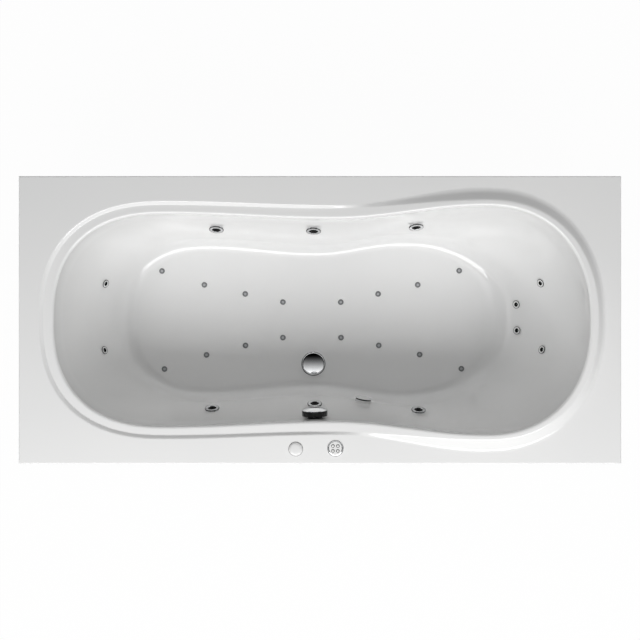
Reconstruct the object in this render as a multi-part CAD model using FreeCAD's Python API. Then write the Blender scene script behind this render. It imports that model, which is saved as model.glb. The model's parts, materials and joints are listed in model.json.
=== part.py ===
import FreeCAD, Part

# Jetted bathtub for two bathers: an acrylic tub shell on a welded steel cradle, with water jets in
# its side and end walls, air injectors in its floor, a pull-cable waste and overflow, and the pump,
# blower and control box that drive it.
# Millimetres, +Z up, +X towards the end with the raised collar, -Y towards the rim with the controls.
# The origin is on the ground under the middle of the rim.

import math
import os

V = FreeCAD.Vector
UP = V(0, 0, 1)
DOWN = V(0, 0, -1)

# ---- Rim and basin ----------------------------------------------------------------------------
RIM_LENGTH = 1700.0
RIM_WIDTH = 812.0
RIM_TOP = 590.0              # height of the flat rim above the ground
FLOOR_TOP = 140.0            # height of the basin's floor
BASIN_DEPTH = RIM_TOP - FLOOR_TOP
HALF_LENGTH, HALF_WIDTH = RIM_LENGTH / 2, RIM_WIDTH / 2
LENGTHWISE, ACROSS = RIM_LENGTH / 1700, RIM_WIDTH / 812     # what is spread over the tub keeps its share of it
DEEP = BASIN_DEPTH / 450
SHELL_WALL = 6.0             # acrylic with its glass-fibre backing
SKIRT_DROP = 32.0            # turned-down edge of the rim
LIP_RADIUS = 8.0             # rounding from the ring into the basin
FLOOR_FILLET = 45.0          # side wall to floor
RIM_EDGE_RADIUS = 3.0
FLOOR_UNDER = FLOOR_TOP - SHELL_WALL

# A basin contour is: left end, left lobe (x, half-width), waist (x, half-width),
# right lobe (x, half-width), right end. Ends and half-widths are distances from the middle.
BASIN_EDGE = (HALF_LENGTH - 96, 413 - HALF_LENGTH, HALF_WIDTH - 106, 42.0, HALF_WIDTH - 121,
              HALF_LENGTH - 385, HALF_WIDTH - 86, HALF_LENGTH - 91)
FLOOR_EDGE = (HALF_LENGTH - 271, 500 - HALF_LENGTH, HALF_WIDTH - 193, -20.0, HALF_WIDTH - 214,
              HALF_LENGTH - 596, HALF_WIDTH - 183, HALF_LENGTH - 322)
LEFT_ROUNDNESS = 2.45        # exponent of the superellipse that rounds each end
RIGHT_ROUNDNESS = 2.25
BACKREST_ROUNDNESS = 1.8     # exponent of the end walls' hollow from rim to floor
SIDE_HOLLOW = 1.5            # how late the side walls lean in

# The ring round the basin: its width and the width of the step outside it, at the left end,
# left lobe, waist, right lobe and right end.
RING_WIDTHS = (28.0, 25.0, 30.0, 14.0, 20.0)
STEP_WIDTHS = (13.0, 12.0, 10.0, 41.0, 27.0)
LEDGE_DEPTH = 8.0            # the ring lies below the rim at the left end
COLLAR_HEIGHT = 22.0         # and stands above it at the right end
SWIRL_START_X = -76.0        # where it begins to climb, and how far it climbs along X
SWIRL_LENGTH = HALF_LENGTH - 294

# ---- Gaps -------------------------------------------------------------------------------------
SEAT_GAP = 0.3               # a fitting's flat back to the curved wall behind it
BODY_BACK = SHELL_WALL + SEAT_GAP + 0.2
ROUND_SIDES = 36             # flat sides round a turned fitting
JET_SIDES = 20
SMALL_SIDES = 12             # and round what repeats
HOLE_CLEARANCE = 0.4         # radial, a fitting in its hole
RUNNING_GAP = 0.05           # radial, a shaft in its bore

# ---- Water jets -------------------------------------------------------------------------------
SIDE_JET_RING_RADIUS = 22.0
SIDE_JET_RING_HEIGHT = 8.0
SIDE_JET_RING_EDGE = 2.5
SIDE_JET_SEAT = 0.6          # the flat back of the ring, clear of the wall's hollow
SIDE_JET_NECK_WALL = 2.6     # the ring's neck passes through the shell into the body
NOZZLE_RADIUS = 9.35         # widest part of the eyeball, running in the ring's bore
NOZZLE_BORE_RADIUS = 3.5
NOZZLE_LENGTH = 14.0
NOZZLE_PIVOT_HEIGHT = 2.0
NOZZLE_MOUTH_RADIUS = 8.6    # the ring's mouth, which keeps the eyeball in
NOZZLE_MOUTH_DEPTH = 3.0
SIDE_JET_BODY_FLATS = 36.0
SIDE_JET_BODY_LENGTH = 30.0
BACK_JETS = ((-312.0, 210.0), (-19.0, 265.0), (292.0, 175.0))      # x, height over the floor
FRONT_JETS = ((-328.0, 174.0), (-16.0, 188.0), (303.0, 130.0))
END_JET_RADIUS = 12.5
END_JET_BORE_RADIUS = 3.0
END_JET_SEAT = 1.6
END_JET_EDGE = 2.4
END_JET_HEIGHT = 5.0
END_JET_STEM_RADIUS = 6.0
END_JET_BODY_FLATS = 22.0
END_JET_BODY_LENGTH = 22.0
LEFT_END_JETS = ((113.0, 106.0), (-94.0, 102.0))                   # y, height over the floor
RIGHT_END_JETS = ((113.0, 162.0), (-91.0, 158.0), (49.0, 53.0), (-33.0, 55.0))

# ---- Air injectors ----------------------------------------------------------------------------
AIR_JET_RADIUS = 8.75
AIR_JET_STAND = 2.0          # above the floor
AIR_JET_LENGTH = 12.0
AIR_JETS_BACK = ((-503.0, 156.0), (-368.0, 112.0), (-238.0, 83.0), (-118.0, 57.0),
                 (66.0, 57.0), (185.0, 83.0), (311.0, 112.0), (443.0, 157.0))
AIR_JETS_FRONT = ((-495.0, -156.0), (-361.0, -111.0), (-237.0, -81.0), (-118.0, -56.0),
                  (67.0, -56.0), (187.0, -81.0), (317.0, -110.0), (450.0, -155.0))
AIR_CHANNEL_WIDTH = 30.0
AIR_CHANNEL_HEIGHT = 15.0
AIR_CHANNEL_WALL = 2.0

# ---- Waste, overflow and suction --------------------------------------------------------------
WASTE_X, WASTE_Y = -21.0, 267 - HALF_WIDTH
WASTE_FLANGE_RADIUS = 39.0
WASTE_FLANGE_THICKNESS = 2.5
WASTE_BORE_RADIUS = 24.0
WASTE_NECK_WALL = 2.0
WASTE_BODY_RADIUS = 31.0
WASTE_BODY_DEPTH = 42.0
PLUG_RADIUS = 36.0
PLUG_STEM_RADIUS = 4.0
PLUG_EDGE = 1.5
PLUG_DOME_HEIGHT = 5.0
PLUG_SEAL_GAP = 0.3
TRAP_RADIUS = WASTE_BODY_RADIUS
PIPE_WALL = 2.5
OUTLET_RADIUS = 20.0
OUTLET_HEIGHT = FLOOR_TOP - 78
TRAP_FOOT = OUTLET_HEIGHT - 34
OUTLET_REACH = 110.0
OUTLET_SPIGOT = 73.0         # the end of the outlet that a pipe slides over
OUTLET_NECK_RADIUS = 19.0    # and the neck between it and the trap
OVERFLOW_X, OVERFLOW_HEIGHT = -15.0, RIM_TOP - 80
GRIP_RADIUS = 37.0
GRIP_FACE_RADIUS = 20.0
GRIP_REACH = 30.0
GRIP_CONE = 9.0
GRIP_BACK = 4.0              # the water enters behind the grip
GRIP_SPINDLE_RADIUS = 5.0
GRIP_SPINDLE_DEPTH = 31.0
OVERFLOW_NECK_RADIUS = 20.0
OVERFLOW_NECK_STAND = 1.5
OVERFLOW_BORE_RADIUS = 14.0
OVERFLOW_BOX_DEPTH = 27.0
OVERFLOW_BOX_BACK = 9.0      # thickness of the box's back, which carries the spindle
OVERFLOW_PIPE_RADIUS = 12.0
PLUG_CABLE_RADIUS = 2.5
PLUG_CABLE_BEND = 25.0
SUCTION_X, SUCTION_HEIGHT = 134.0, FLOOR_TOP + 72
SUCTION_COVER_RADIUS = 27.0
SUCTION_COVER_GAP = 12.0
SUCTION_COVER_THICKNESS = 3.0
SUCTION_POST_RADIUS = 4.0
SUCTION_CUP_RADIUS = 24.0
SUCTION_CUP_DEPTH = 30.0
SUCTION_PIPE_RADIUS = 20.0
SUCTION_PIPE_Y = 71 - HALF_WIDTH
SUCTION_NECK_RADIUS = 18.6
SUCTION_BORE_RADIUS = 15.0

# ---- Controls on the front rim ----------------------------------------------------------------
AIR_KNOB_X, AIR_KNOB_Y = -68.5, 42 - HALF_WIDTH
AIR_KNOB_RADIUS = 20.0
AIR_KNOB_HEIGHT = 6.0
KEYPAD_X, KEYPAD_Y = 43.5, 44 - HALF_WIDTH
KEYPAD_RADIUS = 22.0
KEYPAD_FACE_RADIUS = 18.0
KEYPAD_HEIGHT = 4.0
BUTTON_RADIUS = 4.8
BUTTON_OFFSET = 6.9
BUTTON_HEIGHT = 3.2
BUTTON_STAND = 1.4           # above the face
BUTTON_TRAVEL = 1.0
CONTROL_NUT_FLATS = 38.0
CONTROL_NUT_HEIGHT = 9.0
KNOB_SPINDLE_RADIUS = 5.0
KNOB_SPINDLE_DEPTH = 26.0
CONTROL_STEM_RADIUS = 14.0
CONTROL_BODY_DEPTH = 34.0

# ---- Cradle and feet --------------------------------------------------------------------------
RAIL = 30.0                  # square tube
RAIL_WALL = 2.0
BATTEN_THICKNESS = 18.0      # between the rails and the floor
RAIL_TOP = FLOOR_UNDER - BATTEN_THICKNESS
CABLE_PASS_HEIGHT = RAIL_TOP + 6        # over the rail and under the floor
RAIL_Y = 215 * ACROSS
CRADLE_END_X = HALF_LENGTH - 25
CROSS_RAILS_X = (-300 * LENGTHWISE, 230 * LENGTHWISE)
UPRIGHT_Y = HALF_WIDTH - 36
UPRIGHT_TUBE = 25.0
FOOT_X = HALF_LENGTH - 240
FOOT_ROD_RADIUS = 6.0
FOOT_PAD_FLATS = 46.0
FOOT_PAD_HEIGHT = 18.0
FOOT_EXTENSION = 20.0
NUT_FLATS = 19.0
NUT_HEIGHT = 10.0
CENTRE_BATTEN = (HALF_LENGTH - 420, 28 * ACROSS)            # half-length and half-width
SIDE_BATTEN_Y = (125 * ACROSS, 185 * ACROSS)
SIDE_BATTEN_X = (520 - HALF_LENGTH, HALF_LENGTH - 580)
WASTE_BATTEN_X = (-80.0, 45.0)          # the front strip leaves this clear round the waste
ROD_TOP = RAIL_TOP - 8
ROD_SOCKET = 8.0

# ---- Machines ---------------------------------------------------------------------------------
TRAY_THICKNESS = 3.0
PUMP_TRAY_X = (HALF_LENGTH - 195, HALF_LENGTH - 10)
BLOWER_TRAY_X = (10 - HALF_LENGTH, 200 - HALF_LENGTH)
TRAY_Y = RAIL_Y + 15
PUMP_X = HALF_LENGTH - 112
PUMP_AXIS_HEIGHT = RAIL_TOP + 80
VOLUTE_RADIUS = 70.0
VOLUTE_FRONT_Y = 80 - TRAY_Y
VOLUTE_WIDTH = 50.0
VOLUTE_WALL = 5.0
MOTOR_RADIUS = 58.0
MOTOR_LENGTH = 175.0
IMPELLER_RADIUS = 55.0
IMPELLER_WIDTH = 20.0
BLADE_COUNT = 6
PUMP_SHAFT_RADIUS = 8.0
PORT_RADIUS = 24.0
RISER_X_OFFSET = 52.0
STUB_TOP = PUMP_AXIS_HEIGHT + 86
MOTOR_FEET = (34.0, 20.0)    # half-spread across and thickness of the two feet
MOTOR_FEET_Y = (VOLUTE_FRONT_Y + 110, VOLUTE_FRONT_Y + 210)
BLOWER_X, BLOWER_Y = 105 - HALF_LENGTH, 65 - TRAY_Y
BLOWER_RADIUS = 62.0
BLOWER_HEIGHT = 118.0
BLOWER_WALL = 4.0
FAN_RADIUS = 50.0
FAN_HEIGHT = 24.0
FAN_SHAFT_RADIUS = 5.0
FAN_UNDER = 70.0             # above the blower's base
BLOWER_PEDESTAL_RADIUS = 30.0
BLOWER_INTAKE_RADIUS = 18.0
BLOWER_PIPE_RADIUS = 6.0
CONTROL_BOX = (110.0, 180.0, 80.0)
CONTROL_BOX_Y = TRAY_Y - 80

# ---- Pipework ---------------------------------------------------------------------------------
MAIN_RADIUS = 14.0
MAIN_HEIGHT = RIM_TOP - 120
MAIN_SIDE_Y = HALF_WIDTH - 67
MAIN_END_X = HALF_LENGTH - 60
MAIN_CORNER = 150.0          # the corners are cut by this much along X and Y
BRANCH_RADIUS = 8.0
END_BRANCH_RADIUS = 5.0
AIR_LINE_RADIUS = 6.0
AIR_LINE_HEIGHT = MAIN_HEIGHT + 35
CONDUIT_RADIUS = 4.0
GLAND_HEIGHT = 14.0
CONDUIT_HEIGHT = MAIN_HEIGHT + 60
CONDUIT_Y = 22 - HALF_WIDTH             # in front of the air line


# ---- Shape helpers ----------------------------------------------------------------------------
def set_on(shape, seat, axis):
    """Stand a shape made about +Z on a seat, with its +Z along the axis."""
    shape.Placement = FreeCAD.Placement(seat, FreeCAD.Rotation(UP, axis)).multiply(shape.Placement)
    return shape


def ring_of(radius, height, sides):
    """A closed ring of straight sides about the Z axis."""
    angles = [2 * math.pi * k / sides for k in range(sides)]
    corners = [V(radius * math.cos(a), radius * math.sin(a), height) for a in angles]
    return Part.makePolygon(corners + corners[:1])


def turned(profile, seat=V(0, 0, 0), axis=UP, sides=ROUND_SIDES):
    """Turn a closed profile of (radius, height) points about the axis, in as many steps as sides."""
    faces = []
    for (r1, h1), (r2, h2) in zip(profile, profile[1:] + profile[:1]):
        if r1 and r2 and abs(h1 - h2) > 1e-6:
            one, other = ring_of(r1, h1, sides).Vertexes, ring_of(r2, h2, sides).Vertexes
            for k in range(sides):
                corners = [v.Point for v in (one[k], one[(k + 1) % sides], other[(k + 1) % sides], other[k])]
                faces.append(Part.Face(Part.makePolygon(corners + corners[:1])))
        elif r1 or r2:
            faces.append(flat(*[ring_of(r, h1, sides) for r in sorted((r1, r2), reverse=True) if r]))
    shell = Part.makeShell(faces)
    shell.sewShape()
    return set_on(Part.makeSolid(shell), seat, axis)


def rod(radius, length, base, seat=V(0, 0, 0), axis=UP, sides=0):
    """A straight rod from a height above the seat: truly round, or in flat sides."""
    if sides:
        return turned([(0, base), (radius, base), (radius, base + length), (0, base + length)], seat, axis, sides)
    return set_on(Part.makeCylinder(radius, length, V(0, 0, base)), seat, axis)


def drilled(shape, radius, start, length, seat, axis, sides=0):
    """Drill a hole along the axis, from a height above the seat."""
    return shape.cut(rod(radius, length, start, seat, axis, sides))


def prism(sides, across_flats, height, base, seat=V(0, 0, 0), axis=UP):
    """A regular prism, standing a base height above the seat."""
    corner = across_flats / 2 / math.cos(math.pi / sides)
    turn = 2 * math.pi / sides
    ring = [V(corner * math.cos(k * turn), corner * math.sin(k * turn), base) for k in range(sides)]
    face = Part.Face(Part.makePolygon(ring + ring[:1]))
    return set_on(face.extrude(V(0, 0, height)), seat, axis)


def block(low, high):
    """A box between two corners."""
    low, high = [min(a, b) for a, b in zip(low, high)], [max(a, b) for a, b in zip(low, high)]
    size = V(*high).sub(V(*low))
    return Part.makeBox(size.x, size.y, size.z, V(*low))


def square_tube(start, end, side, wall):
    """A hollow square tube with open ends, along one of the axes."""
    run = end.sub(start)
    across = [i for i in range(3) if abs(run[i]) < 0.001]

    def bar(half):
        low, high = V(start), V(end)
        for i in across:
            low[i] -= half
            high[i] += half
        return block(low, high)

    return bar(side / 2).cut(bar(side / 2 - wall))


def pipe(points, radius, bore=0.0, sides=SMALL_SIDES):
    """The lengths of a pipe along straight runs, mitred where they meet."""
    runs = [(b - a).normalize() for a, b in zip(points, points[1:])]
    tubes = []
    for r in (radius, bore) if bore else (radius,):
        corners = [v.Point for v in set_on(ring_of(r, 0, sides), points[0], runs[0]).Vertexes]
        rings = [corners]
        for point, before, after in zip(points[1:], runs, runs[1:] + runs[-1:]):
            mitre = before + after
            corners = [c + before * ((point - c).dot(mitre) / before.dot(mitre)) for c in corners]
            rings.append(corners)
        tubes.append(rings)
    lengths = []
    for here in range(len(runs)):
        faces = [flat(*[Part.makePolygon(rings[end] + rings[end][:1]) for rings in tubes])
                 for end in (here, here + 1)]
        for rings in tubes:
            one, other = rings[here], rings[here + 1]
            for k in range(sides):
                quad = [one[k], one[(k + 1) % sides], other[(k + 1) % sides], other[k]]
                faces.append(Part.Face(Part.makePolygon(quad + quad[:1])))
        shell = Part.makeShell(faces)
        shell.sewShape()
        lengths.append(Part.makeSolid(shell))
    return lengths


def eased(points, bend, step):
    """The points of a route whose corners are arcs of one bend radius, in steps of some degrees."""
    route = [points[0]]
    for before, corner, after in zip(points, points[1:], points[2:]):
        back, ahead = (before - corner).normalize(), (after - corner).normalize()
        turn = math.pi - back.getAngle(ahead)
        inward = (back + ahead).normalize()
        middle = corner + inward * (bend / math.cos(turn / 2))
        start = corner + back * bend * math.tan(turn / 2) - middle
        axis = start.cross(ahead).normalize()
        count = max(2, round(math.degrees(turn) / step))
        for k in range(count + 1):
            route.append(middle + FreeCAD.Rotation(axis, math.degrees(turn) * k / count).multVec(start))
    return route + [points[-1]]


def export(node, *solids):
    """Write one node, a single solid or a group of separate solids."""
    shape = solids[0] if len(solids) == 1 else Part.makeCompound(list(solids))
    shape.exportStep("parts/" + node + ".step")
    print(node, len(shape.Solids), "valid" if shape.isValid() else "INVALID")


# ---- Tub shell --------------------------------------------------------------------------------
def grown(contour, widths):
    """A contour widened at its left end, left lobe, waist, right lobe and right end."""
    left_end, left_x, left, waist_x, waist, right_x, right, right_end = contour
    return (left_end + widths[0], left_x, left + widths[1], waist_x, waist + widths[2],
            right_x, right + widths[3], right_end + widths[4])


def outline(contour):
    """Points round a contour: superellipse ends joined by a cosine waist."""
    left_end, left_x, left, waist_x, waist, right_x, right, right_end = contour
    end_angles = [math.radians(a) for a in (0, 18, 38, 60)]
    quarters = [0.0, 0.25, 0.5, 0.75]
    back = []
    for a in end_angles:
        power = 2 / RIGHT_ROUNDNESS
        back.append((right_x + (right_end - right_x) * math.cos(a) ** power, right * math.sin(a) ** power))
    for share in quarters:
        swell = 0.5 + 0.5 * math.cos(math.pi * share)
        back.append((right_x + (waist_x - right_x) * share, waist + (right - waist) * swell))
    for share in quarters:
        swell = 0.5 + 0.5 * math.cos(math.pi * share)
        back.append((waist_x + (left_x - waist_x) * share, left + (waist - left) * swell))
    back.append((left_x, left))
    for a in reversed(end_angles):
        power = 2 / LEFT_ROUNDNESS
        back.append((left_x - (left_end + left_x) * math.cos(a) ** power, left * math.sin(a) ** power))
    front = [(x, -y) for x, y in reversed(back[1:-1])]
    return back + front


def loop(contour, height):
    """A smooth closed wire round a contour, at one height or at a height that follows x."""
    height_at = height if callable(height) else lambda x: height
    curve = Part.BSplineCurve()
    curve.interpolate(Points=[V(x, y, height_at(x)) for x, y in outline(contour)], PeriodicFlag=True)
    return Part.Wire([curve.toShape()])


def ring_height(x):
    """Height of the ring round the basin: a ledge at the left that climbs into a collar."""
    share = min(1.0, max(0.0, (x - SWIRL_START_X) / SWIRL_LENGTH))
    climb = share * share * (3 - 2 * share)
    return RIM_TOP - LEDGE_DEPTH + (LEDGE_DEPTH + COLLAR_HEIGHT) * climb


def wall_lean():
    """Lean of the side walls where they meet the floor fillet, and that fillet's tangent length."""
    lean = math.radians(9.0)
    return lean, FLOOR_FILLET * math.tan((math.pi / 2 - lean) / 2)


def contour_at(depth):
    """The basin's inside contour at a depth below the rim."""
    lean, tangent = wall_lean()
    share = depth / BASIN_DEPTH
    above = BASIN_DEPTH - depth
    end_share = 1 - (1 - share ** BACKREST_ROUNDNESS) ** (1 / BACKREST_ROUNDNESS)
    side_share = share ** SIDE_HOLLOW
    numbers = []
    for place, (rim, floor) in enumerate(zip(BASIN_EDGE, FLOOR_EDGE)):
        if place in (0, 7):
            numbers.append(rim + (floor - rim) * end_share)
        elif place in (1, 3, 5):
            numbers.append(rim + (floor - rim) * side_share)
        elif above > FLOOR_FILLET * (1 - math.sin(lean)):
            numbers.append(rim - (rim - floor - tangent) * side_share)
        else:
            numbers.append(floor + FLOOR_FILLET * math.sqrt(1 - (1 - above / FLOOR_FILLET) ** 2))
    return tuple(numbers)


def wall_levels():
    """(depth, tilt of the surface) of each contour from the rim to the floor."""
    lean, _ = wall_lean()
    fillet_depth = BASIN_DEPTH - FLOOR_FILLET * (1 - math.sin(lean))
    levels = [(fillet_depth * share, lean) for share in (0.25, 0.48, 0.68, 0.85)]
    for angle in (math.degrees(math.pi / 2 - lean), 54, 27, 0):
        turn = math.radians(angle)
        levels.append((BASIN_DEPTH - FLOOR_FILLET * (1 - math.cos(turn)), math.pi / 2 - turn))
    return levels


def flat(*wires):
    """A flat face with any further wires as holes."""
    return Part.makeFace(list(wires), "Part::FaceMakerBullseye")


def rim_rectangle(inset, height):
    """A rectangle inside the rim's outer edge."""
    x, y = HALF_LENGTH - inset, HALF_WIDTH - inset
    corners = [V(-x, -y, height), V(x, -y, height), V(x, y, height), V(-x, y, height)]
    return Part.makePolygon(corners + corners[:1])


def blank_shell():
    """The shell before drilling, and its inside wall as a list of faces."""
    ring_edge = grown(BASIN_EDGE, RING_WIDTHS)
    step_foot = grown(ring_edge, STEP_WIDTHS)
    inside = [loop(BASIN_EDGE, lambda x: ring_height(x) - LIP_RADIUS)]
    outside = [loop(grown(BASIN_EDGE, [SHELL_WALL] * 5), lambda x: ring_height(x) - SHELL_WALL - LIP_RADIUS)]
    for depth, tilt in wall_levels():
        contour = contour_at(depth)
        inside.append(loop(contour, RIM_TOP - depth))
        thicker = grown(contour, [SHELL_WALL * math.cos(tilt)] * 5)
        outside.append(loop(thicker, RIM_TOP - depth - SHELL_WALL * math.sin(tilt)))
    foot_top = loop(step_foot, RIM_TOP)
    foot_under = loop(step_foot, RIM_TOP - SHELL_WALL)
    edge_top = loop(ring_edge, ring_height)
    edge_under = loop(ring_edge, lambda x: ring_height(x) - SHELL_WALL)
    lip_top = loop(grown(BASIN_EDGE, [LIP_RADIUS] * 5), ring_height)
    skirt = [rim_rectangle(0, RIM_TOP), rim_rectangle(0, RIM_TOP - SKIRT_DROP),
             rim_rectangle(SHELL_WALL, RIM_TOP - SKIRT_DROP), rim_rectangle(SHELL_WALL, RIM_TOP - SHELL_WALL)]
    wall = Part.makeLoft(inside, False, True)
    bands = [wall, Part.makeLoft(outside, False, True),
             Part.makeLoft([foot_top, edge_top, lip_top, inside[0]], False, True),
             Part.makeLoft([foot_under, edge_under, outside[0]], False, True),
             Part.makeLoft(skirt[:2], False, True), Part.makeLoft(skirt[2:], False, True)]
    faces = [flat(skirt[0], foot_top), flat(skirt[1], skirt[2]), flat(skirt[3], foot_under),
             flat(inside[-1]), flat(outside[-1])]
    for band in bands:
        faces += band.Faces
    shell = Part.makeShell(faces)
    shell.sewShape()
    solid = Part.makeSolid(shell)
    edges = [e for e in solid.Edges if rim_edge(e)]
    return solid.makeFillet(RIM_EDGE_RADIUS, edges), wall.Faces


def rim_edge(edge):
    """True for the four outer edges of the rim's top."""
    box = edge.BoundBox
    on_top = abs(box.ZMin - RIM_TOP) < 0.01 and abs(box.ZMax - RIM_TOP) < 0.01
    along_x = abs(box.XLength - RIM_LENGTH) < 1 and abs(abs(box.YMin) - HALF_WIDTH) < 0.01
    along_y = abs(box.YLength - RIM_WIDTH) < 1 and abs(abs(box.XMin) - HALF_LENGTH) < 0.01
    return on_top and (along_x or along_y)


def wall_seat(wall, start, end):
    """Where a ray from inside the basin meets its wall, and the wall's normal into the basin."""
    ray = Part.makeLine(start, end)
    for face in wall:
        distance, pairs, _ = ray.distToShape(face)
        if distance < 1e-4:
            point = pairs[0][1]
            normal = face.normalAt(*face.Surface.parameter(point))
            return point, normal if normal.dot(start.sub(end)) > 0 else normal.negative()
    raise ValueError("the ray meets no wall")


# ---- Fittings in the walls --------------------------------------------------------------------
def side_jet(seat, axis):
    """Trim ring, nozzle and hexagonal body of one side jet."""
    bore = NOZZLE_RADIUS + RUNNING_GAP
    neck = bore + SIDE_JET_NECK_WALL
    ring = turned([(SIDE_JET_RING_RADIUS, SIDE_JET_SEAT), (SIDE_JET_RING_RADIUS, SIDE_JET_RING_EDGE),
                   (NOZZLE_MOUTH_RADIUS, SIDE_JET_RING_HEIGHT), (bore, SIDE_JET_RING_HEIGHT - NOZZLE_MOUTH_DEPTH),
                   (bore, -BODY_BACK), (neck, -BODY_BACK), (neck, SIDE_JET_SEAT)], seat, axis, JET_SIDES)
    half = NOZZLE_LENGTH / 2
    nozzle = turned([(NOZZLE_BORE_RADIUS, half), (NOZZLE_RADIUS, 0), (NOZZLE_BORE_RADIUS, -half)],
                    seat + axis * NOZZLE_PIVOT_HEIGHT, axis, JET_SIDES)
    body = prism(6, SIDE_JET_BODY_FLATS, -SIDE_JET_BODY_LENGTH, -BODY_BACK, seat, axis)
    return ring, nozzle, body


def end_jet(seat, axis):
    """Face ring and hexagonal body of one small end jet."""
    face = turned([(END_JET_RADIUS, END_JET_SEAT), (END_JET_RADIUS, END_JET_EDGE),
                   (END_JET_BORE_RADIUS, END_JET_HEIGHT), (END_JET_BORE_RADIUS, -BODY_BACK),
                   (END_JET_STEM_RADIUS, -BODY_BACK), (END_JET_STEM_RADIUS, END_JET_SEAT)], seat, axis, SMALL_SIDES)
    return face, prism(6, END_JET_BODY_FLATS, -END_JET_BODY_LENGTH, -BODY_BACK, seat, axis)


def branch(seat, axis, body_length, radius, main_point):
    """The lengths of a branch pipe from the back of a jet body, up to the water main."""
    start = seat - axis * (BODY_BACK + body_length)
    if abs(axis.y) > abs(axis.x):
        elbow = start - axis * ((start.y - main_point.y) / axis.y)
        return pipe([start, elbow, V(elbow.x, elbow.y, main_point.z - MAIN_RADIUS - SEAT_GAP)], radius)
    elbow = start - axis * (2 * radius)
    run = main_point - elbow
    return pipe([start, elbow, elbow + run * (1 - (MAIN_RADIUS + SEAT_GAP + radius / 2) / run.Length)], radius)


def ribbon(points, half_width):
    """The outline of a strip that follows a line of points, mitred at each."""
    sides = [[], []]
    for k, (x, y) in enumerate(points):
        before, after = points[max(k - 1, 0)], points[min(k + 1, len(points) - 1)]
        headings = [math.atan2(y - before[1], x - before[0]) if k else None,
                    math.atan2(after[1] - y, after[0] - x) if k < len(points) - 1 else None]
        known = [h for h in headings if h is not None]
        first, last = known[0], known[-1]
        turn = (last - first + math.pi) % (2 * math.pi) - math.pi
        across = first + turn / 2 + math.pi / 2
        reach = half_width / math.cos(turn / 2)
        for side, sign in zip(sides, (1, -1)):
            side.append((x + sign * reach * math.cos(across), y + sign * reach * math.sin(across)))
    return sides[0] + sides[1][::-1]


def slab(corners, low, high):
    """An upright prism on a list of (x, y) corners."""
    ring = [V(x, y, low) for x, y in corners]
    return Part.Face(Part.makePolygon(ring + ring[:1])).extrude(V(0, 0, high - low))


# ---- Jets, their bodies and pipes ---------------------------------------------------------------
os.makedirs("parts", exist_ok=True)
blank, wall_faces = blank_shell()
holes = []

side_seats, end_seats = [], []
for side, jets in ((1, BACK_JETS), (-1, FRONT_JETS)):
    for x, height in jets:
        x, z = x * LENGTHWISE, FLOOR_TOP + height * DEEP
        side_seats.append(wall_seat(wall_faces, V(x, 0, z), V(x, side * HALF_WIDTH, z)))
for side, jets in ((-1, LEFT_END_JETS), (1, RIGHT_END_JETS)):
    for y, height in jets:
        y, z = y * ACROSS, FLOOR_TOP + height * DEEP
        end_seats.append(wall_seat(wall_faces, V(0, y, z), V(side * HALF_LENGTH, y, z)))

rings, side_bodies, branches = [], [], []
for number, (seat, axis) in enumerate(side_seats, 1):
    ring, nozzle, body = side_jet(seat, axis)
    neck_hole = NOZZLE_RADIUS + RUNNING_GAP + SIDE_JET_NECK_WALL + HOLE_CLEARANCE
    holes.append(rod(neck_hole, 3 * SHELL_WALL, -2 * SHELL_WALL, seat, axis))
    rings.append(ring)
    side_bodies.append(body)
    main_point = V(seat.x, math.copysign(MAIN_SIDE_Y, seat.y), MAIN_HEIGHT)
    branches += branch(seat, axis, SIDE_JET_BODY_LENGTH, BRANCH_RADIUS, main_point)
    export("side_jet_nozzle_" + str(number), nozzle)
    print("side jet", number, tuple(round(c, 3) for c in seat + axis * NOZZLE_PIVOT_HEIGHT), tuple(axis))
end_faces, end_bodies = [], []
for seat, axis in end_seats:
    face, body = end_jet(seat, axis)
    holes.append(rod(END_JET_STEM_RADIUS + HOLE_CLEARANCE, 3 * SHELL_WALL, -2 * SHELL_WALL, seat, axis))
    end_faces.append(face)
    end_bodies.append(body)
    main_point = V(math.copysign(MAIN_END_X, seat.x), seat.y, MAIN_HEIGHT)
    branches += branch(seat, axis, END_JET_BODY_LENGTH, END_BRANCH_RADIUS, main_point)
export("side_jet_rings", *rings)
export("side_jet_bodies", *side_bodies)
export("end_jet_faces", *end_faces)
export("end_jet_bodies", *end_bodies)
export("jet_branches", *branches)

# ---- Air injectors and the channel under them ---------------------------------------------------
injectors = []
back_row, front_row = [tuple((x * LENGTHWISE, y * ACROSS) for x, y in row) for row in (AIR_JETS_BACK, AIR_JETS_FRONT)]
for x, y in back_row + front_row:
    seat = V(x, y, FLOOR_TOP)
    holes.append(rod(AIR_JET_RADIUS + HOLE_CLEARANCE, 3 * SHELL_WALL, -2 * SHELL_WALL, seat, UP, SMALL_SIDES))
    injectors.append(rod(AIR_JET_RADIUS, AIR_JET_LENGTH, AIR_JET_STAND - AIR_JET_LENGTH, seat, UP, SMALL_SIDES))
export("air_injectors", *injectors)
channel_under = FLOOR_UNDER - AIR_CHANNEL_HEIGHT


def channel(line, *capped):
    """A length of the open-topped channel, under the floor along a line of injectors."""
    trough = slab(ribbon(line, AIR_CHANNEL_WIDTH / 2), channel_under, FLOOR_UNDER)
    inner = list(line)
    for end, step in ((0, 1), (-1, -1)):
        if end in capped:
            inner[end] = (line[end][0] + step * AIR_CHANNEL_WALL, line[end][1])
    return trough.cut(slab(ribbon(inner, AIR_CHANNEL_WIDTH / 2 - AIR_CHANNEL_WALL),
                           channel_under + AIR_CHANNEL_WALL, FLOOR_UNDER))


def row_side(row, x):
    """Where the side of a row's channel that faces the other row passes x."""
    slope = (row[1][1] - row[0][1]) / (row[1][0] - row[0][0])
    half = AIR_CHANNEL_WIDTH / 2 * math.hypot(1, slope) + SEAT_GAP
    return row[0][1] + slope * (x - row[0][0]) - math.copysign(half, row[0][1])


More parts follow.
